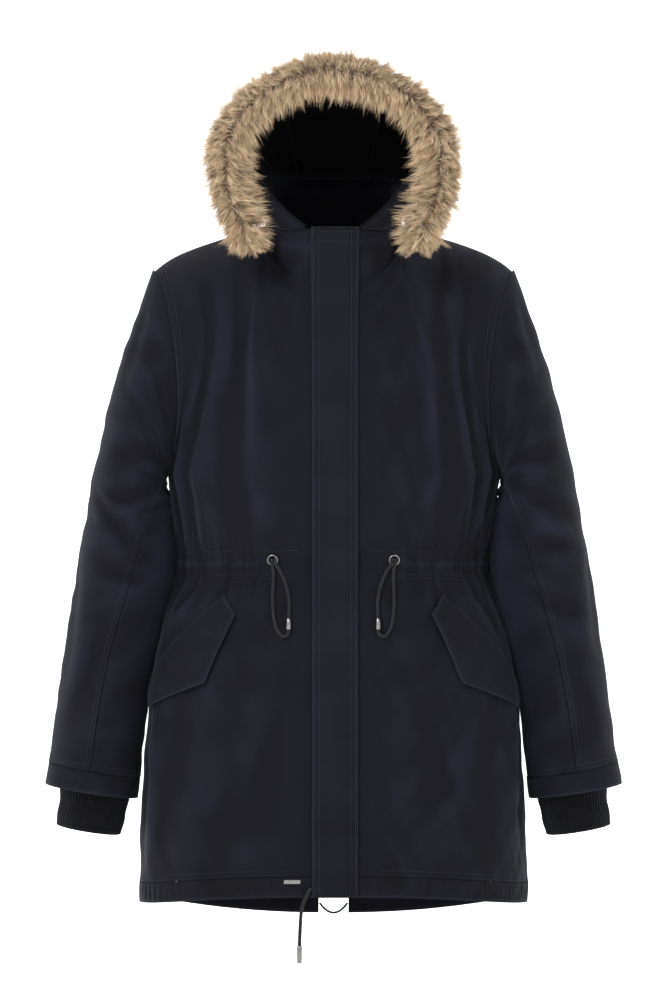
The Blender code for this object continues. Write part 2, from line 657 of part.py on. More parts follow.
def placket_points():
    """The placket's grid: columns across its width, rows up the front and on up the neck stand."""
    levels = np.concatenate([np.linspace(-0.998, 0, 15), np.linspace(0, 1, 9)[1:-1]])
    columns = []
    for x in np.linspace(PLACKET_RIGHT, PLACKET_LEFT, 5):
        column = body(around_at(x, levels), levels)
        foot = hem(np.array([around_at(x, np.array([-1.0]))[0]]), np.array([0.0]))
        turn = math.asin(x / STAND_HALF_WIDTH)
        neck = stand(np.full(3, turn), np.array([0.25, 0.6, 0.95]))
        top = neck[-1:] + np.array([[0, 0.0004, PLACKET_TOP - STAND_FRONT_HEIGHT + 0.003]])
        column = np.concatenate([foot, column, neck, top])
        column[:, 0] = x
        columns.append(column)
    return np.stack(columns, axis=1)


def add_placket(cloth):
    points = placket_points()
    across = np.gradient(points, axis=1)
    up = np.gradient(points, axis=0)
    normals = np.cross(across, up)
    normals /= np.linalg.norm(normals, axis=-1, keepdims=True)
    off = 0.0016 + GAP + 0.0002
    wall("placket", points, normals, off, off + PLACKET_CLOTH, cloth)


def flap_surface(along, down):
    """A pocket flap: `along` runs from its front end to its side, `down` from its seam to its free edge."""
    seam, free = np.radians([c[0] for c in FLAP_SEAM]), np.radians([c[0] for c in FLAP_FREE_EDGE])
    seam_z, free_z = [c[1] for c in FLAP_SEAM], [c[1] for c in FLAP_FREE_EDGE]
    places = (0, 0.5, 1)
    around = np.interp(along, (0, 1), seam) * (1 - down) + np.interp(along, places, free) * down
    height = np.interp(along, (0, 1), seam_z) * (1 - down) + np.interp(along, places, free_z) * down
    return skirt(around, height)


def add_flaps(cloth):
    for side, mirror in (("left", False), ("right", True)):
        along, down = grid(0.0, 1.0, 9, np.linspace(1, 0, 4))
        off = CLOTH / 2 + FLAP_CLEAR + FLAP_LIFT * down
        sheet(f"pocket_flap_{side}", flap_surface, (along, down), cloth, mirror=mirror, flip=True,
              inner=off, outer=off + CLOTH, trims=(0, 0, 0, 0))


def front_y(x, z):
    """The y of the front's surface at a place below the armpits."""
    half_width, front, _, squareness = rows_at(TORSO, np.array(z))
    return float(-front * (1 - (abs(x) / half_width) ** squareness) ** (1 / squareness))


def smooth_route(route, count):
    """Evenly spaced points on a smooth curve through a cord's route."""
    route = np.array(route)
    keys = np.concatenate([[0], np.cumsum(np.linalg.norm(np.diff(route, axis=0), axis=1))])
    fine = np.stack(rows_at(np.column_stack([keys, route]), np.linspace(0, keys[-1], 400)), axis=-1)
    run = np.concatenate([[0], np.cumsum(np.linalg.norm(np.diff(fine, axis=0), axis=1))])
    places = np.linspace(0, run[-1], count)
    return np.stack([np.interp(places, run, fine[:, k]) for k in range(3)], axis=-1)


def add_cord(name, route, diameter, count, finish):
    curve = bpy.data.curves.new(name, "CURVE")
    curve.dimensions = "3D"
    curve.bevel_depth = diameter / 2
    curve.bevel_resolution = 2
    curve.use_fill_caps = True
    points = smooth_route(route, count)
    spline = curve.splines.new("POLY")
    spline.points.add(len(points) - 1)
    for place, point in zip(spline.points, points):
        place.co = (*point, 1)
    curve.materials.append(finish)
    made = bpy.data.objects.new(name, curve)
    bpy.context.scene.collection.objects.link(made)


def waist_route(side):
    """The loop of the waist drawcord in space, on the wearer's left (1) or right (-1)."""
    return [(side * x, front_y(x, z) - CLOTH / 2 - off, z) for x, z, off in WAIST_CORD_ROUTE]


def turned_ring(centre, axis, profile, count=16):
    """Rings of points of a profile of (radius, distance along the axis), turned about the axis."""
    axis = np.array(axis) / np.linalg.norm(axis)
    first = np.cross(axis, (0, 0, 1) if abs(axis[2]) < 0.9 else (1, 0, 0))
    first /= np.linalg.norm(first)
    second = np.cross(axis, first)
    turns = np.linspace(0, 2 * math.pi, count, endpoint=False)
    outward = [first * math.cos(t) + second * math.sin(t) for t in turns]
    return [[centre + axis * far + radius * way for radius, far in profile] for way in outward]


def add_turned(name, centre, axis, profile, finish):
    """A ring with a closed profile."""
    rings = turned_ring(np.array(centre), axis, profile)
    count = len(profile)
    points = [p for one in rings for p in one]
    faces = []
    for i in range(len(rings)):
        n = (i + 1) % len(rings)
        for j in range(count):
            k = (j + 1) % count
            faces.append((i * count + j, n * count + j, n * count + k, i * count + k))
    return add_mesh(name, points, faces, finish)


def add_waist_fittings(cord, metal):
    x, z = EYELET
    for side, sign in (("left", 1), ("right", -1)):
        lean = EYELET_RADIUS
        slope_x = (front_y(x + lean, z) - front_y(x - lean, z)) / (2 * lean)
        slope_z = (front_y(x, z + lean) - front_y(x, z - lean)) / (2 * lean)
        out = np.array([sign * slope_x, -1, slope_z])
        out /= np.linalg.norm(out)
        centre = np.array([sign * x, front_y(x, z), z]) + out * (CLOTH / 2 + 2 * GAP + EYELET_WIRE)
        wire = [
            (EYELET_RADIUS + EYELET_WIRE * math.cos(t), EYELET_WIRE * math.sin(t))
            for t in np.linspace(0, 2 * math.pi, 8, endpoint=False)
        ]
        add_turned(f"eyelet_{side}", centre, out, wire, metal)
        add_cord(f"waist_cord_{side}", waist_route(sign), WAIST_CORD, 32, cord)
        fx, low, high = FERRULE
        bottom = np.array([sign * fx, front_y(fx, low) - CLOTH / 2 - FERRULE_OFF, low])
        top = np.array([sign * fx, front_y(fx, high) - CLOTH / 2 - FERRULE_OFF, high])
        bore = WAIST_CORD / 2 + GAP + 0.0001
        length = float(np.linalg.norm(top - bottom))
        tube = [(bore, 0), (bore + FERRULE_WALL, 0), (bore + FERRULE_WALL, length), (bore, length)]
        add_turned(f"ferrule_{side}", bottom, top - bottom, tube, metal)


def hem_route():
    """The hanging end of the hem drawcord in space."""
    return [(x, front_y(x, z) - HEM_FACE - before, z) for x, before, z in HEM_CORD_ROUTE]


def add_hem_fittings(cord, metal):
    route = hem_route()
    add_cord("hem_cord", route, HEM_CORD, 12, cord)
    end = np.array(route[-1])
    tip = [(0.0004, 0), (TIP_RADIUS, 0), (TIP_RADIUS, -TIP_LENGTH), (0.0004, -TIP_LENGTH)]
    rings = [
        [end + np.array([r * math.cos(t), r * math.sin(t), far - GAP]) for t in
         np.linspace(0, 2 * math.pi, 12, endpoint=False)]
        for r, far in tip[1:3]
    ]
    add_tube("hem_cord_tip", rings[::-1], metal)
    start = hem(np.array(math.pi - VENT_ANGLE - FRONT_START), np.array(0.5))
    middle_z = start[2] - VENT_CORD_SAG
    reach = start[0] - HALF_GAP - 0.0010
    places = np.linspace(-1, 1, 9)
    vent = [(reach * s, start[1], middle_z + (start[2] - middle_z) * s * s) for s in places]
    add_cord("vent_cord", vent, 0.0030, 14, cord)
    x, z = HEM_BAR
    width, depth, height = HEM_BAR_SIZE
    bpy.ops.mesh.primitive_cube_add(size=1, location=(x, front_y(x, z) - CLOTH / 2 - 0.0010 - depth / 2, z))
    bar = bpy.context.object
    bar.name = "hem_bar"
    bar.scale = (width, depth, height)
    bpy.ops.object.transform_apply(location=False, rotation=False, scale=True)
    bar.data.materials.append(metal)


def main():
    for old in list(bpy.data.objects):
        bpy.data.objects.remove(old)
    cloth = material("navy_twill", NAVY, 0.85)
    trim_cloth = material("navy_twill_doubled", NAVY_DEEP, 0.85)
    lining = material("black_lining", LINING, 0.9)
    knit = material("black_rib_knit", KNIT, 0.95)
    fur = material("brown_fur", FUR_BROWN, 0.9)
    cord = material("black_cord", NAVY_DEEP, 0.8)
    metal = material("gunmetal", GUNMETAL, 0.35, 1.0)
    add_fronts_and_backs(cloth)
    add_hem(trim_cloth)
    add_stand(cloth)
    add_hood(cloth, lining)
    add_fur(fur)
    add_sleeves(cloth, knit)
    add_placket(trim_cloth)
    add_flaps(trim_cloth)
    add_waist_fittings(cord, metal)
    add_hem_fittings(cord, metal)


main()
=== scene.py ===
"""The looks of a fur trimmed parka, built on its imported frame.

Metres, +Z up. The front faces -Y and the wearer's left is +X. Every cloth piece is a thin shell on the same
surface as its solid, with creases, gathers and puckers added along the surface's normal.
"""

import math

import bpy
import mathutils
import numpy as np
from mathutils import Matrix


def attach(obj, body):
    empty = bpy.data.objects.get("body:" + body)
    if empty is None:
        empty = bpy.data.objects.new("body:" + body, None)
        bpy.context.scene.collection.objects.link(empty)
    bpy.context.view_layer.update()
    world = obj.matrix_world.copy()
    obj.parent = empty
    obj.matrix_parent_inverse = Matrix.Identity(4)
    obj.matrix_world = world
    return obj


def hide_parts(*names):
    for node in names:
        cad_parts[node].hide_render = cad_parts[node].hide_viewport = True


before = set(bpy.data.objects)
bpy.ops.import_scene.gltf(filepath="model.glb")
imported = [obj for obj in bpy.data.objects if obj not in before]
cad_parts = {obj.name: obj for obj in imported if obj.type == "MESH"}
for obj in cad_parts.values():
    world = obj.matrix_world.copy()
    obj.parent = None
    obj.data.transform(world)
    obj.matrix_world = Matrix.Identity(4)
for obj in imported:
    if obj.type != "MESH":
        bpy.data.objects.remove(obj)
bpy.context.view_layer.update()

# Cloth
CLOTH = 0.002  # thickness of a wall of cloth
GAP = 0.0003  # between pieces at a seam
HALF_GAP = GAP / 2
EASE = 0.0006  # at the side, shoulder and armhole seams, where walls meet at an angle
SEAM = (HALF_GAP, HALF_GAP, HALF_GAP, HALF_GAP)
RIGHT_ANGLE = math.pi / 2

# Heights of the body
ARMPIT = -0.277
HEM_DEPTH = 0.026  # height of the hem casing
HEM_FRONT = -0.812  # lower edge at the centre front
HEM_SIDE_DROP = 0.017  # how much lower the hem is at the side
HEM_BACK_DROP = 0.033  # and how much more at the centre back
VENT_HEIGHT = 0.150
VENT_HALF_WIDTH = 0.019

# Half of the torso's horizontal sections, below the armpit.
# height, half width, depth of front, depth of back, squareness
TORSO = (
    (-0.880, 0.2500, 0.146, 0.151, 2.50),
    (-0.800, 0.2505, 0.144, 0.149, 2.50),
    (-0.690, 0.2460, 0.140, 0.145, 2.50),
    (-0.600, 0.2405, 0.136, 0.140, 2.50),
    (-0.550, 0.2365, 0.133, 0.136, 2.50),
    (-0.505, 0.2300, 0.130, 0.131, 2.50),
    (-0.455, 0.2190, 0.125, 0.124, 2.45),
    (-0.415, 0.2080, 0.119, 0.117, 2.40),
    (-0.391, 0.2035, 0.114, 0.111, 2.40),
    (-0.365, 0.2060, 0.119, 0.116, 2.40),
    (-0.335, 0.2080, 0.124, 0.121, 2.45),
    (-0.277, 0.2140, 0.130, 0.126, 2.50),
)

# Largest folds of the torso, pressed in or standing out, the same on both sides.
# degrees round from the centre front, height, reach round in degrees, reach up and down, depth
FOLDS = (
    (47.0, -0.325, 9.0, 0.060, 0.0060),
    (58.0, -0.350, 8.0, 0.055, -0.0060),
    (74.0, -0.395, 7.5, 0.060, -0.0080),
    (64.0, -0.640, 12.0, 0.110, 0.0060),
    (20.0, -0.760, 9.0, 0.080, -0.0050),
    (42.0, -0.770, 10.0, 0.080, 0.0050),
    (106.0, -0.400, 8.0, 0.060, -0.0080),
    (128.0, -0.340, 9.0, 0.070, 0.0060),
    (146.0, -0.385, 8.0, 0.060, -0.0060),
    (132.0, -0.690, 12.0, 0.120, 0.0060),
)

# Neckline, neck stand and shoulder
NECK_SHARE = 0.42  # share of a panel's top edge that is neckline, the rest being shoulder seam
NECK_HALF_WIDTH = 0.088
NECK_FRONT = -0.100
NECK_BACK = 0.085
NECK_FRONT_HEIGHT = -0.035
NECK_SIDE_HEIGHT = 0.045
NECK_BACK_RISE = 0.010
STAND_HALF_WIDTH = 0.083
STAND_FRONT = -0.094
STAND_BACK = 0.086
STAND_FRONT_HEIGHT = 0.035
STAND_SIDE_HEIGHT = 0.095
STAND_BACK_RISE = 0.010
SHOULDER_FALL = 0.044
CHEST_ROLL = 2.2  # squareness of the roll from chest to shoulder

# Rings of the sleeve, from the armhole to the wrist, in the plane through each ring's outer and inner point.
# distance along, outer x, outer z, inner x, inner z, reach to front, reach to back, bow towards the body
SLEEVE = (
    (0.000, 0.2330, -0.015, 0.2140, -0.277, 0.078, 0.088, 0.024),
    (0.055, 0.2525, -0.066, 0.2175, -0.282, 0.086, 0.091, 0.012),
    (0.135, 0.2780, -0.141, 0.2190, -0.288, 0.088, 0.089, 0.004),
    (0.215, 0.2980, -0.219, 0.2200, -0.298, 0.086, 0.085, 0.000),
    (0.315, 0.3180, -0.315, 0.2140, -0.338, 0.081, 0.076, 0.000),
    (0.365, 0.3262, -0.363, 0.2105, -0.386, 0.079, 0.071, 0.000),
    (0.415, 0.3340, -0.412, 0.2170, -0.428, 0.076, 0.066, 0.000),
    (0.515, 0.3490, -0.510, 0.2375, -0.528, 0.072, 0.056, 0.000),
    (0.655, 0.3685, -0.649, 0.2520, -0.669, 0.068, 0.044, 0.000),
    (0.684, 0.3730, -0.677, 0.2550, -0.696, 0.068, 0.042, 0.000),
)
SLEEVE_SQUARENESS = 2.15
ARMHOLE_STEP = 0.0022  # the sleeve's first ring stands this far out from the body's armhole
SLEEVE_SEAM = 0.655  # where the sleeve's hem is turned up
SLEEVE_END = 0.684

# Where the two seams of a sleeve lie round it: 0 outside, 90 front, 180 inside, 270 back.
# distance along, front seam, back seam
SLEEVE_SEAMS = (
    (0.000, 168, 196),
    (0.215, 150, 212),
    (0.275, 134, 222),
    (0.350, 110, 234),
    (0.450, 98, 244),
    (0.560, 91, 250),
    (0.684, 88, 254),
)

# Rings of the knit cuff, in the same terms as the sleeve.
CUFF = (
    (0.000, 0.3662, -0.644, 0.2544, -0.662, 0.0654, 0.0418, 0.0),
    (0.018, 0.3560, -0.664, 0.2630, -0.679, 0.0570, 0.0340, 0.0),
    (0.040, 0.3550, -0.685, 0.2660, -0.700, 0.0545, 0.0315, 0.0),
    (0.086, 0.3605, -0.730, 0.2760, -0.744, 0.0530, 0.0290, 0.0),
)
CUFF_END = 0.086
CUFF_WALL = 0.0025

# Arches of the hood, from its opening to the back of the neck. Each stands on the top of the neck stand.
# distance back, foot angle, crown y, crown z, half width, share of height where widest, roundness below,
# half width of the centre panel
HOOD = (
    (0.00, 23, -0.118, 0.206, 0.1085, 0.53, 1.40, 0.062),
    (0.20, 41, -0.060, 0.225, 0.1150, 0.47, 1.95, 0.064),
    (0.40, 58, 0.010, 0.236, 0.1180, 0.43, 2.30, 0.064),
    (0.60, 72, 0.080, 0.222, 0.1170, 0.40, 2.30, 0.062),
    (0.78, 82, 0.130, 0.178, 0.1080, 0.35, 2.00, 0.056),
    (0.90, 88, 0.130, 0.130, 0.0950, 0.20, 2.00, 0.049),
    (1.00, 90, 0.086, 0.105, 0.0835, 0.05, 2.00, 0.044),
)
HOOD_ROUNDNESS = 2.1
HOOD_EDGE_WIDTH = 0.10  # of the distance back
LINING_OFFSET = 0.0042
LINING_CLOTH = 0.0012

# Half of the fur trim, from the crown down to its hanging end.
# distance round, x, y, z, half band, half depth
FUR = (
    (0.00, 0.0000, -0.1367, 0.2340, 0.0255, 0.026),
    (0.05, 0.0360, -0.1367, 0.2290, 0.0255, 0.026),
    (0.10, 0.0765, -0.1352, 0.2120, 0.0260, 0.026),
    (0.15, 0.1135, -0.1302, 0.1830, 0.0275, 0.026),
    (0.20, 0.1340, -0.1249, 0.1480, 0.0280, 0.026),
    (0.25, 0.1370, -0.1222, 0.1150, 0.0280, 0.026),
    (0.30, 0.1320, -0.1182, 0.0780, 0.0285, 0.026),
    (0.35, 0.1160, -0.1242, 0.0390, 0.0280, 0.025),
    (0.38, 0.1105, -0.1282, 0.0180, 0.0210, 0.016),
    (0.40, 0.1085, -0.1302, 0.0090, 0.0080, 0.006),
)
FUR_SQUARENESS = 3.2

# Placket
PLACKET_RIGHT = -0.027  # its free edge
PLACKET_LEFT = 0.031  # where it is stitched to the left front
PLACKET_TOP = 0.039
PLACKET_CLOTH = 0.0022

# Corners of a pocket flap, in degrees round from the centre front and metres of height.
FLAP_SEAM = ((36.5, -0.431), (83.0, -0.553))
FLAP_FREE_EDGE = ((29.5, -0.4565), (38.5, -0.543), (71.0, -0.5765))
FLAP_CLEAR = 0.0009  # under its sewn edge
FLAP_LIFT = 0.003  # how far its free edge stands off

# Waist drawcord: the loop that hangs from each eyelet, as x, height and distance in front of the cloth.
# The loop leaves the eyelet beside its outer rim and comes back beside its inner rim, through the ferrule.
EYELET = (0.077, -0.386)
EYELET_RADIUS = 0.0060  # of the ring's middle line
EYELET_WIRE = 0.0012
WAIST_CORD = 0.0040
WAIST_CORD_ROUTE = (
    (0.0791, -0.3860, 0.0020),
    (0.0791, -0.3866, 0.0052),
    (0.0785, -0.3905, 0.0078),
    (0.0765, -0.3985, 0.0072),
    (0.0762, -0.4120, 0.0052),
    (0.0768, -0.4300, 0.0038),
    (0.0765, -0.4480, 0.0034),
    (0.0745, -0.4640, 0.0033),
    (0.0700, -0.4765, 0.0033),
    (0.0637, -0.4826, 0.0033),
    (0.0580, -0.4800, 0.0036),
    (0.0567, -0.4700, 0.0040),
    (0.0566, -0.4600, 0.0040),
    (0.0560, -0.4480, 0.0038),
    (0.0567, -0.4320, 0.0038),
    (0.0610, -0.4150, 0.0050),
    (0.0680, -0.3995, 0.0068),
    (0.0733, -0.3910, 0.0078),
    (0.0749, -0.3866, 0.0052),
    (0.0749, -0.3860, 0.0020),
)
FERRULE = (0.0567, -0.4740, -0.4600)  # x, lower end, upper end
FERRULE_OFF = 0.0040
FERRULE_WALL = 0.0007

# Hem drawcord: x, y before the hem's face, height
HEM_FACE = 0.0016 + GAP  # how far the hem's outer face stands before its surface
HEM_CORD = 0.0045
HEM_CORD_ROUTE = (
    (-0.0290, 0.0032, -0.8000),
    (-0.0312, 0.0032, -0.8040),
    (-0.0345, 0.0032, -0.8110),
    (-0.0385, 0.0032, -0.8200),
    (-0.0405, 0.0030, -0.8300),
    (-0.0415, 0.0022, -0.8420),
    (-0.0422, 0.0012, -0.8560),
    (-0.0428, 0.0004, -0.8720),
)
TIP_LENGTH = 0.022
TIP_RADIUS = 0.0029
VENT_CORD_SAG = 0.013

HEM_BAR = (-0.052, -0.792)  # middle of the plain metal bar
HEM_BAR_SIZE = (0.021, 0.0012, 0.005)

FRONT_START = 0.002  # angle of a front's edge under the placket
BACK_START = RIGHT_ANGLE + 1e-6  # just past the side seam, so that it counts as the back

# The angle whose chord at the back hem is the vent's half width
VENT_ANGLE = math.asin((VENT_HALF_WIDTH / TORSO[1][1]) ** (TORSO[1][4] / 2))


def rows_at(table, at):
    """Each column of a table at the places `at` along its first column, on smooth curves through its rows."""
    rows = np.array(table, float)
    keys = rows[:, 0]
    at = np.clip(np.asarray(at, float), keys[0], keys[-1])
    slopes = np.gradient(rows, keys, axis=0)
    before = np.clip(np.searchsorted(keys, at, side="right") - 1, 0, len(keys) - 2)
    span = (keys[before + 1] - keys[before])[..., None]
    t = (at - keys[before])[..., None] / span
    ease = t * t * (3 - 2 * t)
    values = rows[before] * (1 - ease) + rows[before + 1] * ease
    values += span * (t**3 - 2 * t**2 + t) * slopes[before]
    values += span * (t**3 - t**2) * slopes[before + 1]
    return np.moveaxis(values, -1, 0)[1:]


def rounded(angle, squareness):
    """Cosine and sine of an angle, squared off: 2 gives a circle, and more gives fuller corners."""
    cosine, sine = np.cos(angle), np.sin(angle)
    power = 2 / squareness
    return np.sign(cosine) * np.abs(cosine) ** power, np.sign(sine) * np.abs(sine) ** power


def smoothstep(value):
    t = np.clip(value, 0, 1)
    return t * t * (3 - 2 * t)


def hem_foot(around):
    """Height of the hem's lower edge, by angle from the centre front."""
    to_side = np.sin(np.minimum(np.abs(around), RIGHT_ANGLE)) ** 2
    to_back = smoothstep((np.abs(around) - RIGHT_ANGLE) / RIGHT_ANGLE)
    return HEM_FRONT - HEM_SIDE_DROP * to_side - HEM_BACK_DROP * to_back


def fold_height(around, height):
    """How far the largest folds stand out of the torso at a place."""
    degrees = np.degrees(around)
    total = 0.0
    for turn, middle, reach_round, reach_up, depth in FOLDS:
        away = ((degrees - turn) / reach_round) ** 2 + ((height - middle) / reach_up) ** 2
        total = total + depth * np.exp(-away)
    return total


def skirt(around, height):
    """A point of the torso below the armpits. `around` runs from 0 at the front to pi at the back."""
    half_width, front, back, squareness = rows_at(TORSO, height)
    cosine, sine = rounded(around, squareness)
    depth = np.where(cosine > 0, front, back)
    grown = 1 + fold_height(around, height) / half_width
    return np.stack([half_width * sine * grown, -depth * cosine * grown, height + 0 * around], axis=-1)


def neckline(around):
    cosine, sine = np.cos(around), np.sin(around)
    y = np.where(cosine > 0, NECK_FRONT * cosine, -NECK_BACK * cosine)
    climb = np.clip(1 - cosine, 0, 1) ** 1.3
    back = np.clip(-cosine, 0, 1)
    z = NECK_FRONT_HEIGHT + (NECK_SIDE_HEIGHT - NECK_FRONT_HEIGHT) * climb + NECK_BACK_RISE * back
    return np.stack([NECK_HALF_WIDTH * sine, y, z], axis=-1)


def stand_top(around):
    cosine, sine = np.cos(around), np.sin(around)
    y = np.where(cosine > 0, STAND_FRONT * cosine, -STAND_BACK * cosine)
    climb = np.clip(1 - cosine, 0, 1) ** 3.5
    back = np.clip(-cosine, 0, 1)
    z = STAND_FRONT_HEIGHT + (STAND_SIDE_HEIGHT - STAND_FRONT_HEIGHT) * climb + STAND_BACK_RISE * back
    return np.stack([STAND_HALF_WIDTH * sine, y, z], axis=-1)


def stand(around, rise):
    low, high = neckline(around), stand_top(around)
    return low + (high - low) * np.asarray(rise)[..., None]


def shoulder(share):
    """The shoulder seam, from the neckline at 0 to the shoulder's tip at 1, on the wearer's left."""
    start, end = neckline(np.array(RIGHT_ANGLE)), sleeve_ring(np.array(0.0), np.array(0.0))
    x = start[0] + (end[0] - start[0]) * share
    y = start[1] + (end[1] - start[1]) * share
    z = start[2] - SHOULDER_FALL * share - (start[2] - end[2] - SHOULDER_FALL) * share**6
    return np.stack([x, y, z], axis=-1)


def ring(table, turn, along, squareness):
    """A point of a tube of rings. `turn` is 0 outside, 90 degrees in front and 180 degrees inside."""
    outer_x, outer_z, inner_x, inner_z, front, back, bow = rows_at(table, along)
    cosine, sine = rounded(turn, squareness)
    x = (outer_x + inner_x) / 2 + (outer_x - inner_x) / 2 * cosine - bow * sine**2
    z = (outer_z + inner_z) / 2 + (outer_z - inner_z) / 2 * cosine
    y = np.where(sine > 0, -front * sine, -back * sine)
    return np.stack([x, y, z], axis=-1)


def sleeve_ring(turn, along):
    return ring(SLEEVE, turn, along, SLEEVE_SQUARENESS)


def sleeve(turn, along):
    step = ARMHOLE_STEP * (1 - smoothstep(np.asarray(along) / 0.055))
    return sleeve_ring(turn, along) + np.stack([step, 0 * step, 0 * step], axis=-1)


def cuff(turn, along):
    return ring(CUFF, turn, along, SLEEVE_SQUARENESS)


def yoke(around, rise):
    """A point of the torso above the armpits, up to the neckline and the shoulder seam."""
    side = np.abs(around)
    in_front = side <= RIGHT_ANGLE
    share = np.where(in_front, side, math.pi - side) / RIGHT_ANGLE
    on_neck = share <= NECK_SHARE
    neck_turn = RIGHT_ANGLE * np.clip(share / NECK_SHARE, 0, 1)
    neck = neckline(np.where(in_front, neck_turn, math.pi - neck_turn))
    seam = shoulder(np.clip((share - NECK_SHARE) / (1 - NECK_SHARE), 0, 1))
    top = np.where(on_neck[..., None], neck, seam)
    bottom = skirt(side, np.full_like(side, ARMPIT))
    roll = RIGHT_ANGLE * np.clip(rise, 0, 1)
    up = np.sin(roll) ** (2 / CHEST_ROLL)
    rolled = 1 - np.cos(roll) ** (2 / CHEST_ROLL)
    inward = up**2 + (rolled - up**2) * smoothstep(share / NECK_SHARE)
    weight = np.stack([up, inward, up], axis=-1)
    turn = math.pi * np.where(in_front, 1 - rise, 1 + rise)
    armhole = sleeve_ring(turn, np.zeros_like(turn))
    tip, pit = sleeve_ring(np.array(0.0), np.array(0.0)), sleeve_ring(np.array(math.pi), np.array(0.0))
    blend = bottom + (top - bottom) * weight
    point = blend + (armhole - (pit + (tip - pit) * weight)) * (share**2.5)[..., None]
    return point * np.stack([np.where(around < 0, -1, 1), 1 + 0 * side, 1 + 0 * side], axis=-1)


def body(around, level):
    """A point of the torso. `level` is -1 at the foot of the panels, 0 at the armpit and 1 at the top."""
    foot = hem_foot(around) + HEM_DEPTH
    below = skirt(around, ARMPIT + (foot - ARMPIT) * np.clip(-level, 0, 1.02))
    return np.where((level < 0)[..., None], below, yoke(around, level))


def hem(around, rise):
    return skirt(around, hem_foot(around) + HEM_DEPTH * rise)


def hood(arc, back):
    """A point of the hood. `arc` is 0 over the crown and 1 or -1 at its feet, `back` 0 at the opening."""
    foot, crown_y, crown_z, half_width, widest, low_power, _ = rows_at(HOOD, back)
    base = stand_top(np.radians(foot))
    half_width = np.maximum(half_width, base[..., 0] + 0.0004)
    low = base[..., 0] / half_width
    reach = widest / (1 - low**low_power) ** (1 / low_power)
    low_turn = np.arccos(low ** (low_power / 2))
    turn = RIGHT_ANGLE - np.abs(arc) * (RIGHT_ANGLE + low_turn)
    power = 2 / np.where(turn > 0, HOOD_ROUNDNESS, low_power)
    across = half_width * np.abs(np.cos(turn)) ** power
    lift = np.abs(np.sin(turn)) ** power
    climb = np.where(turn > 0, widest + (1 - widest) * lift, widest - reach * lift)
    y = base[..., 1] + (crown_y - base[..., 1]) * climb
    z = base[..., 2] + (crown_z - base[..., 2]) * climb
    return np.stack([np.sign(arc) * across, y, z], axis=-1)


def hood_seam(back):
    """The arc at which the seam between the centre and side panels lies."""
    foot, _, _, half_width, _, low_power, seam = rows_at(HOOD, back)
    base = stand_top(np.radians(foot))
    half_width = np.maximum(half_width, base[..., 0] + 0.0004)
    low_turn = np.arccos((base[..., 0] / half_width) ** (low_power / 2))
    turn = np.arccos((seam / half_width) ** (HOOD_ROUNDNESS / 2))
    return (RIGHT_ANGLE - turn) / (RIGHT_ANGLE + low_turn)


def around_at(x, level):
    """The angle at which the front has a given x, found by halving."""
    low, high = np.zeros_like(level), np.full_like(level, RIGHT_ANGLE)
    for _ in range(30):
        middle = (low + high) / 2
        inside = body(middle, level)[..., 0] < abs(x)
        low, high = np.where(inside, middle, low), np.where(inside, high, middle)
    return math.copysign(1, x) * (low + high) / 2


def grid(start, end, across, rows):
    """Two arrays of parameters, with a value of `start` and `end` for each row if they are arrays.

    `across` is a number of columns, or their places between 0 and 1.
    """
    rows = np.asarray(rows)
    share = (np.linspace(0, 1, across) if np.isscalar(across) else across)[None, :]
    start, end = np.broadcast_to(start, rows.shape), np.broadcast_to(end, rows.shape)
    return start[:, None] + (end - start)[:, None] * share, np.repeat(rows[:, None], share.shape[1], axis=1)


def surface_points(surface, u, v, flip=False):
    """Points of a surface and its outward normals."""
    step = 1e-4
    inset = 0.004 * (v.max() - v.min())
    near = np.clip(v, v.min(), v.max() - inset)
    across = surface(np.minimum(u + step, u.max()), near) - surface(np.maximum(u - step, u.min()), near)
    up = surface(u, near + step) - surface(u, near - step)
    normal = np.cross(across, up)
    normal /= np.linalg.norm(normal, axis=-1, keepdims=True)
    return surface(u, v), -normal if flip else normal


def trimmed(points, trims):
    """The grid with its four edges drawn in by (left, right, bottom, top) metres."""
    points = points.copy()
    left, right, bottom, top = trims

    def draw_in(edge, inner, amount):
        way = inner - edge
        return edge + amount * way / np.linalg.norm(way, axis=-1, keepdims=True)

    first, last = points[:, 0].copy(), points[:, -1].copy()
    points[:, 0] = draw_in(first, points[:, 1], left)
    points[:, -1] = draw_in(last, points[:, -2], right)
    first, last = points[0].copy(), points[-1].copy()
    points[0] = draw_in(first, points[1], bottom)
    points[-1] = draw_in(last, points[-2], top)
    return points


def vent_angle(levels):
    """Half angle of the back vent at each level, narrowing to nothing at its top."""
    lowest = HEM_FRONT - HEM_SIDE_DROP - HEM_BACK_DROP + HEM_DEPTH
    height = ARMPIT + (lowest - ARMPIT) * np.clip(-levels, 0, 1)
    foot = HEM_FRONT - HEM_SIDE_DROP - HEM_BACK_DROP
    open_share = np.clip(1 - (height - foot) / VENT_HEIGHT, 0, 1)
    return FRONT_START + VENT_ANGLE * open_share


def hood_span(name, back):
    """Where a panel of the hood starts and ends across it."""
    seam = hood_seam(back)
    return {"left": (seam, 0.99), "right": (-0.99, -seam), "centre": (-seam, seam)}[name]


def flap_surface(along, down):
    """A pocket flap: `along` runs from its front end to its side, `down` from its seam to its free edge."""
    seam, free = np.radians([c[0] for c in FLAP_SEAM]), np.radians([c[0] for c in FLAP_FREE_EDGE])
    seam_z, free_z = [c[1] for c in FLAP_SEAM], [c[1] for c in FLAP_FREE_EDGE]
    places = (0, 0.5, 1)
    around = np.interp(along, (0, 1), seam) * (1 - down) + np.interp(along, places, free) * down
    height = np.interp(along, (0, 1), seam_z) * (1 - down) + np.interp(along, places, free_z) * down
    return skirt(around, height)


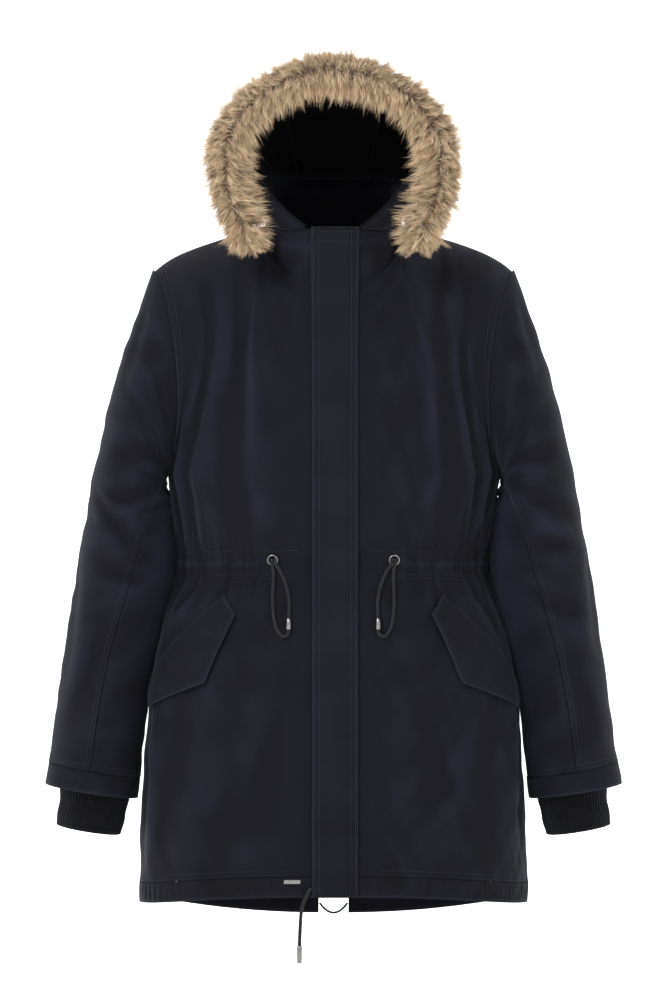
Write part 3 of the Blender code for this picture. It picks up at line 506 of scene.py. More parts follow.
def front_y(x, z):
    """The y of the front's surface at a place below the armpits."""
    half_width, front, _, squareness = rows_at(TORSO, np.array(z))
    return float(-front * (1 - (abs(x) / half_width) ** squareness) ** (1 / squareness))


def smooth_route(route, count):
    """Evenly spaced points on a smooth curve through a cord's route."""
    route = np.array(route)
    keys = np.concatenate([[0], np.cumsum(np.linalg.norm(np.diff(route, axis=0), axis=1))])
    fine = np.stack(rows_at(np.column_stack([keys, route]), np.linspace(0, keys[-1], 400)), axis=-1)
    run = np.concatenate([[0], np.cumsum(np.linalg.norm(np.diff(fine, axis=0), axis=1))])
    places = np.linspace(0, run[-1], count)
    return np.stack([np.interp(places, run, fine[:, k]) for k in range(3)], axis=-1)


def waist_route(side):
    """The loop of the waist drawcord in space, on the wearer's left (1) or right (-1)."""
    return [(side * x, front_y(x, z) - CLOTH / 2 - off, z) for x, z, off in WAIST_CORD_ROUTE]


def hem_route():
    """The hanging end of the hem drawcord in space."""
    return [(x, front_y(x, z) - HEM_FACE - before, z) for x, before, z in HEM_CORD_ROUTE]


# Relief: everything below is added along a surface's normal, in metres

# Creases of the body: long soft troughs with a ridge beside them.
# side (1 the wearer's left, -1 right, 0 both), from degrees round and height, to degrees round and height,
# width, depth
BODY_CREASES = (
    (-1, 50, -0.085, 33, -0.350, 0.015, 0.0036),
    (-1, 39, -0.170, 27, -0.355, 0.011, 0.0026),
    (-1, 66, -0.110, 58, -0.345, 0.014, 0.0030),
    (-1, 80, -0.210, 71, -0.365, 0.011, 0.0040),
    (1, 57, -0.090, 42, -0.350, 0.016, 0.0036),
    (1, 70, -0.130, 54, -0.345, 0.012, 0.0044),
    (1, 44, -0.210, 34, -0.358, 0.011, 0.0024),
    (1, 83, -0.190, 67, -0.365, 0.011, 0.0040),
    (-1, 53, -0.409, 67, -0.452, 0.008, 0.0042),
    (-1, 36, -0.410, 40, -0.440, 0.007, 0.0026),
    (1, 54, -0.409, 67, -0.475, 0.009, 0.0046),
    (1, 33, -0.410, 36, -0.452, 0.007, 0.0024),
    (-1, 10, -0.590, 20, -0.715, 0.020, 0.0034),
    (-1, 50, -0.560, 58, -0.770, 0.022, 0.0030),
    (-1, 27, -0.640, 33, -0.790, 0.016, 0.0022),
    (1, 8, -0.735, 16, -0.800, 0.009, 0.0034),
    (1, 50, -0.600, 44, -0.780, 0.022, 0.0030),
    (1, 24, -0.560, 30, -0.700, 0.018, 0.0020),
    (-1, 74, -0.590, 80, -0.800, 0.018, 0.0032),
    (1, 78, -0.600, 72, -0.790, 0.018, 0.0032),
    (0, 118, -0.090, 138, -0.345, 0.016, 0.0036),
    (-1, 104, -0.180, 112, -0.360, 0.012, 0.0040),
    (1, 100, -0.160, 108, -0.365, 0.012, 0.0042),
    (-1, 150, -0.140, 154, -0.350, 0.014, 0.0026),
    (1, 158, -0.170, 150, -0.355, 0.013, 0.0026),
    (0, 126, -0.412, 114, -0.480, 0.010, 0.0040),
    (-1, 142, -0.415, 148, -0.500, 0.010, 0.0030),
    (1, 140, -0.415, 150, -0.470, 0.009, 0.0030),
    (-1, 120, -0.560, 112, -0.800, 0.022, 0.0034),
    (1, 116, -0.600, 124, -0.810, 0.022, 0.0034),
    (0, 150, -0.620, 144, -0.830, 0.018, 0.0026),
)

# Creases of a sleeve, in the same terms. Degrees run from 0 outside through 90 in front to 180 inside.
# side, from degrees round, distance along, to degrees round, distance along, width, depth
SLEEVE_CREASES = (
    (-1, 72, 0.020, 50, 0.085, 0.009, 0.0034),
    (-1, 30, 0.030, 42, 0.140, 0.013, 0.0026),
    (1, 66, 0.034, 54, 0.072, 0.008, 0.0034),
    (1, 24, 0.022, 38, 0.120, 0.013, 0.0028),
    (-1, 118, 0.130, 60, 0.240, 0.013, 0.0036),
    (1, 124, 0.150, 66, 0.225, 0.012, 0.0038),
    (-1, 128, 0.255, 58, 0.300, 0.011, 0.0040),
    (1, 120, 0.250, 50, 0.330, 0.012, 0.0038),
    (-1, 40, 0.300, 104, 0.362, 0.011, 0.0036),
    (1, 46, 0.370, 110, 0.352, 0.010, 0.0036),
    (-1, 122, 0.402, 62, 0.385, 0.010, 0.0034),
    (1, 112, 0.418, 56, 0.452, 0.011, 0.0034),
    (-1, 84, 0.470, 60, 0.600, 0.014, 0.0028),
    (1, 78, 0.500, 58, 0.618, 0.014, 0.0028),
    (-1, 20, 0.400, 30, 0.560, 0.016, 0.0024),
    (1, 16, 0.380, 26, 0.520, 0.016, 0.0024),
    (0, -30, 0.040, -48, 0.150, 0.014, 0.0032),
    (0, -70, 0.090, -40, 0.230, 0.015, 0.0032),
    (-1, -96, 0.240, -40, 0.310, 0.013, 0.0038),
    (1, -90, 0.270, -34, 0.345, 0.013, 0.0038),
    (0, -44, 0.400, -100, 0.372, 0.012, 0.0036),
    (-1, -60, 0.470, -80, 0.600, 0.015, 0.0028),
    (1, -74, 0.450, -56, 0.610, 0.015, 0.0028),
    (0, 150, 0.230, 196, 0.262, 0.010, 0.0030),
    (0, 205, 0.300, 160, 0.330, 0.010, 0.0030),
)

# Creases of the hood. side, from share across, share back, to share across, share back, width, depth
HOOD_CREASES = (
    (0, 0.62, 0.10, 0.70, 0.45, 0.030, 0.0020),
    (0, 0.86, 0.16, 0.66, 0.60, 0.040, 0.0030),
    (0, 0.20, 0.55, 0.30, 0.90, 0.040, 0.0028),
    (1, 0.06, 0.62, 0.12, 0.95, 0.030, 0.0022),
    (-1, 0.10, 0.40, 0.04, 0.86, 0.030, 0.0024),
    (0, 0.80, 0.60, 0.50, 0.88, 0.035, 0.0028),
)
# Where a sleeve's inner side swells towards the waist: degrees round, distance along, reaches, depth
WAIST_SAG = (180, 0.365, 38, 0.175, 0.0088)
BOW = 0.05  # how far a crease bends sideways, as a share of its length

# Rough radii that turn degrees round, or the hood's shares across, into metres of cloth
BODY_RADIUS = 0.215
WAIST_RADIUS = 0.21
SLEEVE_RADIUS = 0.075
HOOD_RADIUS = 0.24

# Waist channel, drawn up on its cord
CHANNEL_MIDDLE = -0.391
CHANNEL_ROWS = (-0.374, -0.4085)  # its two rows of stitching
CHANNEL_START = 21.0  # degrees round, at the eyelet
GATHER_STEP = 2.5  # degrees between gathers, before they are made uneven
CORD_SWELL = 0.0022  # how far the cord inside lifts the cloth
STITCH_SINK = 0.0010  # how far a row of stitching pulls the cloth in


def crease(table, side, across, along, scale):
    """Troughs and ridges from a table of creases. `scale` turns across into metres."""
    total = np.zeros(np.broadcast(across, along).shape)
    for row_side, start_across, start, end_across, end, width, depth in table:
        if row_side not in (0, side):
            continue
        way = np.array([(end_across - start_across) * scale, end - start])
        length = np.linalg.norm(way)
        way = way / length
        east, north = (across - start_across) * scale, along - start
        run = (east * way[0] + north * way[1]) / length
        inside = np.clip(run, 0, 1)
        off = east * way[1] - north * way[0] - BOW * length * np.sin(math.pi * inside)
        place = off / (width * (0.75 + 0.5 * inside))
        fade = np.exp(-(((run - inside) * length / (1.6 * width)) ** 2))
        swell = 0.30 + 0.70 * np.sin(math.pi * inside) ** 0.7
        trough = np.exp(-(place**2))
        ridges = 0.55 * np.exp(-(((place - 1.9) / 1.1) ** 2)) + 0.30 * np.exp(-(((place + 1.8) / 1.1) ** 2))
        total -= depth * swell * fade * (trough - ridges)
    return total


def gather_rows(side):
    """Uneven gathers along the waist: degrees round, width, depth, reach up, reach down and lean of each."""
    rng = np.random.default_rng(40 + side)
    turns = np.arange(CHANNEL_START + 1.5, 176, GATHER_STEP)
    turns = turns + rng.uniform(-0.9, 0.9, len(turns))
    strength = 0.55 + 0.45 * np.exp(-(((turns - 68) / 26) ** 2)) + 0.2 * np.exp(-(((turns - 130) / 30) ** 2))
    return zip(
        turns,
        rng.uniform(0.0022, 0.0038, len(turns)),
        rng.uniform(0.0026, 0.0056, len(turns)) * strength,
        rng.gamma(2.0, 0.009, len(turns)) + 0.006,
        rng.gamma(2.0, 0.008, len(turns)) + 0.006,
        rng.uniform(-22, 22, len(turns)),
    )


def waist_relief(side, degrees, height):
    """The drawn-up channel: a swell over the cord, a sunk line at each row of stitching, and the gathers."""
    started = smoothstep((degrees - CHANNEL_START) / 3)
    above = height - CHANNEL_MIDDLE
    half = (CHANNEL_ROWS[0] - CHANNEL_ROWS[1]) / 2
    total = CORD_SWELL * np.exp(-((above / 0.0036) ** 2)) + 0.0006 * np.exp(-((above / 0.013) ** 4))
    for row in CHANNEL_ROWS:
        total = total - STITCH_SINK * np.exp(-(((height - row) / 0.0016) ** 2))
    for turn, width, depth, up, down, lean in gather_rows(side):
        off = (degrees - turn - lean * above) * math.pi / 180 * WAIST_RADIUS
        reach = np.where(above > 0, half * 0.6 + up, half * 0.6 + down)
        total = total - depth * np.exp(-((off / width) ** 2)) * np.exp(-((np.abs(above) / reach) ** 2.4))
    return total * started


def ripple(across, along, seed, size):
    """Slow uneven waves, so that no stretch of cloth is perfectly smooth."""
    rng = np.random.default_rng(seed)
    total = 0.0
    for _ in range(9):
        angle, wave, phase = rng.uniform(0, math.pi), rng.uniform(0.024, 0.100), rng.uniform(0, 2 * math.pi)
        way = across * math.cos(angle) + along * math.sin(angle)
        total = total + np.sin(way * 2 * math.pi / wave + phase)
    return size * total / 3


def body_relief(side):
    def relief(around, height, edge_fade):
        degrees = np.degrees(around)
        total = crease(BODY_CREASES, side, degrees, height, math.pi / 180 * BODY_RADIUS)
        total = total + waist_relief(side, degrees, height)
        total = total + ripple(around * WAIST_RADIUS, height, 5 + side, 0.0008)
        return total * edge_fade
    return relief


def pressed_to_waist(degrees, along):
    """How far the sleeve's inner side is pushed towards the body above the waist. It enters the body's cloth
    there, so that no light shows between the two."""
    turn, middle, reach_round, reach_along, depth = WAIST_SAG
    around = np.mod(degrees, 360) - turn
    return depth * np.exp(-((around / reach_round) ** 2) - ((along - middle) / reach_along) ** 4)


def sleeve_relief(side):
    def relief(turn, along):
        degrees = np.degrees(turn)
        scale = math.pi / 180 * SLEEVE_RADIUS
        total = crease(SLEEVE_CREASES, side, degrees, along, scale)
        for whole_turn in (-360, 360):
            total = total + crease(SLEEVE_CREASES, side, degrees + whole_turn, along, scale)
        total = total + ripple(np.cos(turn) * 0.07, along, 15 + side, 0.0009)
        total = total + pressed_to_waist(degrees, along)
        return total * smoothstep(along / 0.030) * smoothstep((SLEEVE_END - along) / 0.02)
    return relief


def hood_relief(arc, back):
    side = np.where(arc < 0, -1, 1)
    left = crease(HOOD_CREASES, 1, np.abs(arc), back, HOOD_RADIUS)
    right = crease(HOOD_CREASES, -1, np.abs(arc), back, HOOD_RADIUS)
    total = np.where(side > 0, left, right) + ripple(arc * 0.2, back * 0.25, 25, 0.0005)
    ends = smoothstep(back / 0.06) * smoothstep((1 - back) / 0.08)
    return total * ends * smoothstep((1 - np.abs(arc)) / 0.05)


# Meshes


def fill_mesh(name, points, quads, finish, coordinates=None, tone=None, smooth=True):
    """A mesh object from an array of points and an array of faces with the same number of corners each."""
    points, quads = np.asarray(points, float).reshape(-1, 3), np.asarray(quads, int)
    corners = quads.shape[1]
    mesh = bpy.data.meshes.new(name)
    mesh.vertices.add(len(points))
    mesh.vertices.foreach_set("co", points.ravel())
    mesh.loops.add(quads.size)
    mesh.loops.foreach_set("vertex_index", quads.ravel())
    mesh.polygons.add(len(quads))
    mesh.polygons.foreach_set("loop_start", np.arange(0, quads.size, corners))
    mesh.update()
    mesh.polygons.foreach_set("use_smooth", np.full(len(quads), smooth))
    if coordinates is not None:
        layer = mesh.uv_layers.new(name="cloth")
        layer.data.foreach_set("uv", coordinates[quads.ravel()].ravel())
    if tone is not None:
        values = np.asarray(tone, float).ravel()
        mesh.attributes.new("tone", "FLOAT", "POINT").data.foreach_set("value", values)
    mesh.validate()
    mesh.materials.append(finish)
    made = bpy.data.objects.new(name, mesh)
    bpy.context.scene.collection.objects.link(made)
    return made


def shell_faces(rows, columns, closed):
    """Faces of a wall: its two sides and the rims that join them."""
    wrap = columns if closed else columns - 1
    i, j = np.meshgrid(np.arange(rows - 1), np.arange(wrap), indexing="ij")
    i, j = i.ravel(), j.ravel()
    k = (j + 1) % columns
    under = rows * columns
    a, b, c, d = i * columns + j, i * columns + k, (i + 1) * columns + k, (i + 1) * columns + j
    faces = [np.stack([a, b, c, d], 1), np.stack([under + d, under + c, under + b, under + a], 1)]
    j = np.arange(wrap)
    k = (j + 1) % columns
    last = (rows - 1) * columns
    faces.append(np.stack([j, under + j, under + k, k], 1))
    faces.append(np.stack([last + k, under + last + k, under + last + j, last + j], 1))
    if not closed:
        a = np.arange(rows - 1) * columns
        d = a + columns
        e, f = a + columns - 1, d + columns - 1
        faces.append(np.stack([a, d, under + d, under + a], 1))
        faces.append(np.stack([f, e, under + e, under + f], 1))
    return np.concatenate(faces)


def lengths_along(points):
    """Metres across and up the cloth at each point of a grid, for its weave."""
    across = np.linalg.norm(np.diff(points, axis=1), axis=-1)
    up = np.linalg.norm(np.diff(points, axis=0), axis=-1)
    across = np.concatenate([np.zeros((len(points), 1)), np.cumsum(across, axis=1)], axis=1)
    up = np.concatenate([np.zeros((1, points.shape[1])), np.cumsum(up, axis=0)], axis=0)
    return np.stack([across, up], axis=-1).reshape(-1, 2)


def shell(name, points, normals, relief, finish, inner, outer, closed=False, wear=0.0):
    """A thin wall of cloth. Its colour carries a painted highlight on its ridges and painted shade in its
    troughs, and is lighter along its worn edges.
    """
    moved = points + normals * relief[..., None]
    inner, outer = (np.broadcast_to(d, relief.shape)[..., None] for d in (inner, outer))
    both = np.concatenate([(moved + normals * far).reshape(-1, 3) for far in (outer, inner)])
    coordinates = np.tile(lengths_along(points), (2, 1))
    # tone from the relief is painted light: a painted highlight on ridges and painted shade in troughs, with
    # the wear added on top
    tone = np.tile((np.clip(relief / 0.004, -1, 1) + wear).ravel(), 2)
    return fill_mesh(name, both, shell_faces(*relief.shape, closed), finish, coordinates, tone)


def facing(points, normals, mirror):
    """The grid turned to the wearer's other side if it is mirrored."""
    if not mirror:
        return points, normals
    across = np.array([-1, 1, 1])
    return points[:, ::-1] * across, normals[:, ::-1] * across


def piece(node, shown, slot, *nodes):
    """Ties a shown piece to the body and hides the solid of the node it stands for."""
    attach(shown, "root")
    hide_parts(node, *nodes)
    return shown


def extra(shown):
    """Ties a shown piece to the body, beside those that stand for its node."""
    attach(shown, "root")
    return shown


def cloth_piece(node, surface, parameters, relief, finish, slot, trims=SEAM, inner=-0.0009, outer=0.0009,
                mirror=False, flip=False, closed=False, wear=0.0):
    u, v = parameters
    points, normals = surface_points(surface, u, v, flip)
    if not closed:
        points = trimmed(points, trims)
    points, normals = facing(points, normals, mirror)
    relief = np.broadcast_to(relief, u.shape)
    relief = relief[:, ::-1] if mirror else relief
    inner, outer = (d[:, ::-1] if mirror and np.ndim(d) == 2 else d for d in (inner, outer))
    wear = np.broadcast_to(wear, u.shape)
    wear = wear[:, ::-1] if mirror else wear
    made = shell(f"{node}_cloth", points, normals, relief, finish, inner, outer, closed, wear)
    return piece(node, made, slot)


# Stitching: rows of separate stitches, each a small spindle lying on the cloth
STITCH_LENGTH = 0.0024
STITCH_PITCH = 0.0034
STITCH_WIDTH = 0.00036
STITCH_HEIGHT = 0.00030
stitch_lines = []


def stitch_row(surface, u, v, lift=0.0010, relief=0.0, mirror=False, flip=False):
    """Notes a row of stitching along a line of parameters of a surface."""
    u, v = np.atleast_2d(u).astype(float), np.atleast_2d(v).astype(float)
    u, v = np.broadcast_arrays(u, v)
    points, normals = free_normals(surface, u, v, flip)
    points = points + normals * np.broadcast_to(relief + lift, u.shape)[..., None]
    across = np.array([-1 if mirror else 1, 1, 1])
    stitch_lines.append((points[0] * across, normals[0] * across))


def free_normals(surface, u, v, flip=False):
    """Points and normals of a surface at any parameters, which need not form a grid."""
    step = 1e-4
    across = surface(u + step, v) - surface(u - step, v)
    up = surface(u, v + step) - surface(u, v - step)
    normal = np.cross(across, up)
    normal /= np.maximum(np.linalg.norm(normal, axis=-1, keepdims=True), 1e-12)
    return surface(u, v), -normal if flip else normal


def add_stitching(thread):
    """All noted rows as one mesh of spindles."""
    points, faces = [], []
    spindle = np.array([(0, 2, 4), (0, 4, 3), (0, 3, 5), (0, 5, 2),
                        (1, 4, 2), (1, 3, 4), (1, 5, 3), (1, 2, 5)])
    for line, normals in stitch_lines:
        run = np.concatenate([[0], np.cumsum(np.linalg.norm(np.diff(line, axis=0), axis=1))])
        starts = np.arange(0, run[-1] - STITCH_LENGTH, STITCH_PITCH)
        start = np.stack([np.interp(starts, run, line[:, k]) for k in range(3)], -1)
        end = np.stack([np.interp(starts + STITCH_LENGTH, run, line[:, k]) for k in range(3)], -1)
        normal = np.stack([np.interp(starts, run, normals[:, k]) for k in range(3)], -1)
        side = np.cross(normal, end - start)
        side /= np.maximum(np.linalg.norm(side, axis=-1, keepdims=True), 1e-12)
        middle = (start + end) / 2
        corners = np.stack([start, end, middle + side * STITCH_WIDTH, middle - side * STITCH_WIDTH,
                            middle + normal * STITCH_HEIGHT, middle - normal * STITCH_HEIGHT], 1)
        first = sum(len(p) for p in points)
        faces.append((spindle[None] + first + 6 * np.arange(len(starts))[:, None, None]).reshape(-1, 3))
        points.append(corners.reshape(-1, 3))
    made = fill_mesh("topstitching", np.concatenate(points), np.concatenate(faces), thread)
    extra(made)


# Cloth pieces

SIDES = (("left", 1, False), ("right", -1, True))  # name, side, mirrored

# Heights of the body panels' rows, closest in the waist channel, and shares across them
PANEL_ROWS = np.unique(np.concatenate([
    np.linspace(-0.788, -0.470, 46), np.linspace(-0.470, -0.418, 13), np.linspace(-0.418, -0.366, 30),
    np.linspace(-0.366, -0.320, 10), np.linspace(-0.320, ARMPIT, 6),
]))
PANEL_LEVELS = np.concatenate([(PANEL_ROWS - ARMPIT) / (ARMPIT - PANEL_ROWS[0]), np.linspace(0, 1, 38)[1:]])
PANEL_PLACES = np.concatenate([np.linspace(0, NECK_SHARE, 44), np.linspace(NECK_SHARE, 1, 56)[1:]])


def height_of(around, level):
    """Height of a level of the body: below 0 down to the hem casing, and up to 1 at the top."""
    foot = hem_foot(around) + HEM_DEPTH
    return np.where(level < 0, ARMPIT + (foot - ARMPIT) * np.clip(-level, 0, 1), ARMPIT * (1 - level))


def panel_fade(around, level):
    """Relief dies away under the placket, at the armhole, the shoulder seam and the neckline."""
    side = np.abs(around)
    from_front = smoothstep((np.degrees(side) - 9) / 6)
    share = np.where(side <= RIGHT_ANGLE, side, math.pi - side) / RIGHT_ANGLE
    armhole = 1 - (1 - smoothstep((1 - share) / 0.10)) * smoothstep(level / 0.12)
    return from_front * armhole * smoothstep((1 - level) / 0.12)


def body_parts(cloth, hem_cloth):
    for name, side, mirror in SIDES:
        relief = body_relief(side)
        front = grid(FRONT_START, RIGHT_ANGLE, PANEL_PLACES, PANEL_LEVELS)
        back = grid(BACK_START, math.pi - vent_angle(PANEL_LEVELS), 1 - PANEL_PLACES[::-1], PANEL_LEVELS)
        for where, panel, edges in (("front", front, (0, EASE, HALF_GAP, EASE)),
                                    ("back", back, (EASE, -0.0008, HALF_GAP, EASE))):
            lift = relief(panel[0], height_of(*panel), panel_fade(*panel))
            made = cloth_piece(f"{where}_{name}", body, panel, lift, cloth, "navy_twill", edges,
                               mirror=mirror)
        bands = (("front", FRONT_START, RIGHT_ANGLE),
                 ("back", BACK_START, math.pi - FRONT_START - VENT_ANGLE))
        for where, start, end in bands:
            band = grid(start, end, 130, np.linspace(0, 1, 10))
            height = hem_foot(band[0]) + HEM_DEPTH * band[1]
            lift = relief(band[0], height, panel_fade(band[0], 0 * band[0])) * (0.4 + 0.6 * band[1])
            lift = lift + hem_puckers(band[0], band[1], side)
            made = cloth_piece(f"hem_{where}_{name}", hem, band, lift, hem_cloth, "navy_twill_doubled",
                               inner=-0.0014, outer=0.0014, mirror=mirror,
                               wear=1.2 * np.exp(-((band[1] / 0.12) ** 2)))


def hem_puckers(around, rise, side):
    """Small slanting puckers where the casing is stitched up, and its rounded lower edge."""
    rng = np.random.default_rng(70 + side)
    total = 0.0
    for _ in range(5):
        wave, phase, slant = rng.uniform(0.008, 0.021), rng.uniform(0, 6.3), rng.uniform(-0.6, 0.6)
        total = total + np.sin(around * 0.22 * 2 * math.pi / wave + phase + slant * rise * 4)
    return 0.00020 * total * np.sin(math.pi * rise)


def neck_parts(cloth):
    quarter = np.radians(np.linspace(0, 90, 40))
    quarter[0] = FRONT_START / 5
    half = np.radians(np.linspace(90, 270, 80))
    rise = np.linspace(0, 1, 18)
    for name, angles in (("left", quarter), ("back", half), ("right", -quarter[::-1])):
        u, v = np.meshgrid(angles, rise)
        fold = 0.0024 * np.exp(-(((v - 0.74 - 0.05 * np.sin(3 * u)) / 0.09) ** 2)) * smoothstep(np.cos(u))
        lift = (fold + ripple(u * 0.09, v * 0.06, 31, 0.0016)) * np.sin(math.pi * v) ** 0.6
        made = cloth_piece(f"stand_{name}", stand, (u, v), lift, cloth, "navy_twill",
                           (HALF_GAP, HALF_GAP, -0.0015, -0.0015))


def hood_parts(cloth, lining):
    rows = np.linspace(0, 1, 64)
    inside_rows = np.linspace(HOOD_EDGE_WIDTH, 1, 36)
    columns = {"left": 60, "right": 60, "centre": 44}
    for name, count in columns.items():
        panel = grid(*hood_span(name, rows), count, rows)
        made = cloth_piece(f"hood_{name}", hood, panel, hood_relief(*panel), cloth, "navy_twill",
                           (HALF_GAP, HALF_GAP, HALF_GAP, -0.0010))
        inner = grid(*hood_span(name, inside_rows), count // 2, inside_rows)
        lift = ripple(inner[0] * 0.2, inner[1] * 0.3, 45, 0.0006)
        made = cloth_piece(f"hood_lining_{name}", hood, inner, lift, lining, "black_lining",
                           (0.0006, 0.0006, 0.0006, 0.0050), -LINING_OFFSET - LINING_CLOTH / 2,
                           -LINING_OFFSET + LINING_CLOTH / 2)
    rows = np.linspace(0.002, HOOD_EDGE_WIDTH - 0.004, 10)
    parts = [grid(*hood_span(name, rows), columns[name], rows) for name in ("right", "centre", "left")]
    across = np.concatenate([parts[0][0], parts[1][0][:, 1:], parts[2][0][:, 1:]], axis=1)
    edge = across, np.repeat(rows[:, None], across.shape[1], axis=1)
    made = cloth_piece("hood_edge", hood, edge, 0.0, cloth, "navy_twill", inner=-LINING_OFFSET - 0.0010,
                       outer=-LINING_OFFSET + 0.0008)


SLEEVE_TUCK = 0.0040  # how far a sleeve's first row is turned in at the armhole
RIBS = 62  # round the cuff
RIB_COLUMNS = 6 * RIBS
RIB_HEIGHT = 0.00045


def sleeve_parts(cloth, knit):
    along = np.concatenate([np.linspace(0, 0.22, 34), np.linspace(0.22, 0.46, 50)[1:],
                            np.linspace(0.46, SLEEVE_SEAM, 26)[1:]])
    front_seam, back_seam = (np.radians(column) for column in rows_at(SLEEVE_SEAMS, along))
    for name, side, mirror in SIDES:
        relief = sleeve_relief(side)
        spans = (("top", back_seam - 2 * math.pi, front_seam, 80), ("under", front_seam, back_seam, 36))
        for part, start, end, count in spans:
            cut = grid(start, end, count, along)
            made = cloth_piece(f"sleeve_{part}_{name}", sleeve, cut, relief(*cut), cloth, "navy_twill",
                               (GAP, GAP, -SLEEVE_TUCK, HALF_GAP), mirror=mirror)
        turned = grid(0, 2 * math.pi * 127 / 128, 128, np.linspace(SLEEVE_SEAM + GAP, SLEEVE_END, 8))
        lift = ripple(np.cos(turned[0]) * 0.08, turned[1], 55 + side, 0.0005)
        lower = (SLEEVE_END - turned[1]) / (SLEEVE_END - SLEEVE_SEAM)
        made = cloth_piece(f"sleeve_hem_{name}", sleeve, turned, lift, cloth, "navy_twill", outer=0.0015,
                           mirror=mirror, closed=True, wear=1.2 * np.exp(-((lower / 0.12) ** 2)))
        last = 2 * math.pi * (RIB_COLUMNS - 1) / RIB_COLUMNS
        band = grid(0, last, RIB_COLUMNS, np.linspace(0, CUFF_END, 18))
        ribs = RIB_HEIGHT * (np.cos(band[0] * RIBS) - 1) * smoothstep(band[1] / 0.02 + 0.2)
        band_waves = 0.0006 * np.sin(band[1] * 2 * math.pi / 0.031) * smoothstep(band[1] / 0.03)
        made = cloth_piece(f"knit_cuff_{name}", cuff, band, ribs + band_waves, knit, "black_rib_knit",
                           inner=-CUFF_WALL + 2 * RIB_HEIGHT, outer=0.0, mirror=mirror, closed=True)


PLACKET_SMOOTHINGS = 40
PLACKET_OFF = 0.0016 + GAP + 0.0002  # how far the placket's back stands off the fronts


def placket_grid():
    """Points of the placket, from the hem up over the fronts and the neck stand, evened out lengthways."""
    levels = np.concatenate([np.linspace(-0.998, 0, 130), np.linspace(0, 1, 36)[1:-1]])
    columns = []
    for x in np.linspace(PLACKET_RIGHT, PLACKET_LEFT, 20):
        column = body(around_at(x, levels), levels)
        foot = hem(np.array([around_at(x, np.array([-1.0]))[0]]), np.array([0.0]))
        turn = math.asin(x / STAND_HALF_WIDTH)
        neck = stand(np.full(9, turn), np.linspace(0.25, 0.95, 9))
        top = neck[-1:] + np.array([[0, 0.0004, PLACKET_TOP - STAND_FRONT_HEIGHT + 0.003]])
        column = np.concatenate([foot, column, neck, top])
        column[:, 0] = x
        columns.append(column)
    points = np.stack(columns, axis=1)
    for _ in range(PLACKET_SMOOTHINGS):
        points[1:-1] = (points[:-2] + 2 * points[1:-1] + points[2:]) / 4
    return points


def placket_part(cloth):
    points = placket_grid()
    normals = np.cross(np.gradient(points, axis=1), np.gradient(points, axis=0))
    normals /= np.linalg.norm(normals, axis=-1, keepdims=True)
    off = PLACKET_OFF
    x, z = points[..., 0], points[..., 2]
    edge = np.minimum(np.abs(x - PLACKET_RIGHT), np.abs(PLACKET_LEFT - x))
    swell = 0.0009 * smoothstep(edge / 0.006) - 0.0006 * np.exp(-(((x - PLACKET_LEFT + 0.011) / 0.0022) ** 2))
    wave = ripple(x * 0.6, z, 61, 0.0005) * smoothstep(edge / 0.004)
    wear = 1.6 * np.exp(-((edge / 0.0016) ** 2))
    made = shell("placket_cloth", points, normals, swell + wave, cloth, off + 0.0003, off + PLACKET_CLOTH,
                 wear=wear)
    piece("placket", made, "navy_twill_doubled")
    placket_stitches(points, normals, off + PLACKET_CLOTH + swell + wave + 0.0002)


def placket_stitches(points, normals, lift):
    """Rows beside the placket's long edges and across its top."""
    count = points.shape[1]
    right, left = PLACKET_RIGHT, PLACKET_LEFT
    for x_line in (right + 0.0022, right + 0.0085, left - 0.0018, left - 0.0080):
        column = int(round((x_line - right) / (left - right) * (count - 1)))
        line = points[:, column] + normals[:, column] * lift[:, column, None]
        stitch_lines.append((line, normals[:, column]))
    for row in (-2, -4):
        stitch_lines.append((points[row] + normals[row] * lift[row, :, None], normals[row]))


def flap_parts(cloth):
    for name, side, mirror in SIDES:
        along, down = grid(0.0, 1.0, 70, np.linspace(1, 0, 30))
        off = 0.0010 + FLAP_CLEAR + FLAP_LIFT * down
        rng = np.random.default_rng(90 + side)
        lift = ripple(along * 0.15, down * 0.09, int(rng.integers(999)), 0.0008) * smoothstep(down / 0.3)
        lift = lift + 0.0012 * down**2 * np.sin(along * 7 + side)
        thick = 0.0016 + 0.0006 * np.exp(-(((down - 0.93) / 0.07) ** 2))
        edge = np.minimum(np.minimum(1 - down, along * 1.6), (1 - along) * 1.6)
        made = cloth_piece(f"pocket_flap_{name}", flap_surface, (along, down), np.abs(lift) * 0.9, cloth,
                           "navy_twill_doubled", (0, 0, 0, 0), off, off + thick, mirror, True,
                           wear=1.6 * np.exp(-((edge / 0.025) ** 2)))
        for edge in (0.04, 0.10):
            flap_stitches(edge, mirror)


def flap_stitches(edge, mirror):
    """Stitching round a flap, that far in from its seam and its free edge."""
    places = np.linspace(0.02, 0.98, 60)
    for down in (edge, 1 - edge):
        lift = 0.0010 + FLAP_CLEAR + FLAP_LIFT * down + 0.0026
        stitch_row(flap_surface, places, np.full(60, down), lift, mirror=mirror, flip=True)


def channel_stitches(relief, mirror):
    """Two rows along the waist channel and one close beside the lower."""
    turns = np.radians(np.linspace(9.5, 168, 500))
    for height in (CHANNEL_ROWS[0], CHANNEL_ROWS[1], CHANNEL_ROWS[1] + 0.0045):
        level = np.full_like(turns, (height - ARMPIT) / (ARMPIT - (HEM_FRONT + HEM_DEPTH)))
        lift = relief(turns, height_of(turns, level), panel_fade(turns, level))
        stitch_row(body, turns, level, relief=lift, mirror=mirror)


def hem_stitches(relief, mirror):
    """Two rows just above the hem casing, on the front and on the back."""
    for rise in (1.10, 1.32):
        for start, end in ((9, 90), (90, 172)):
            turns = np.radians(np.linspace(start, end, 300))
            heights = hem_foot(turns) + HEM_DEPTH * rise
            lift = relief(turns, heights, panel_fade(turns, 0 * turns))
            stitch_row(skirt, turns, heights, relief=lift, mirror=mirror)


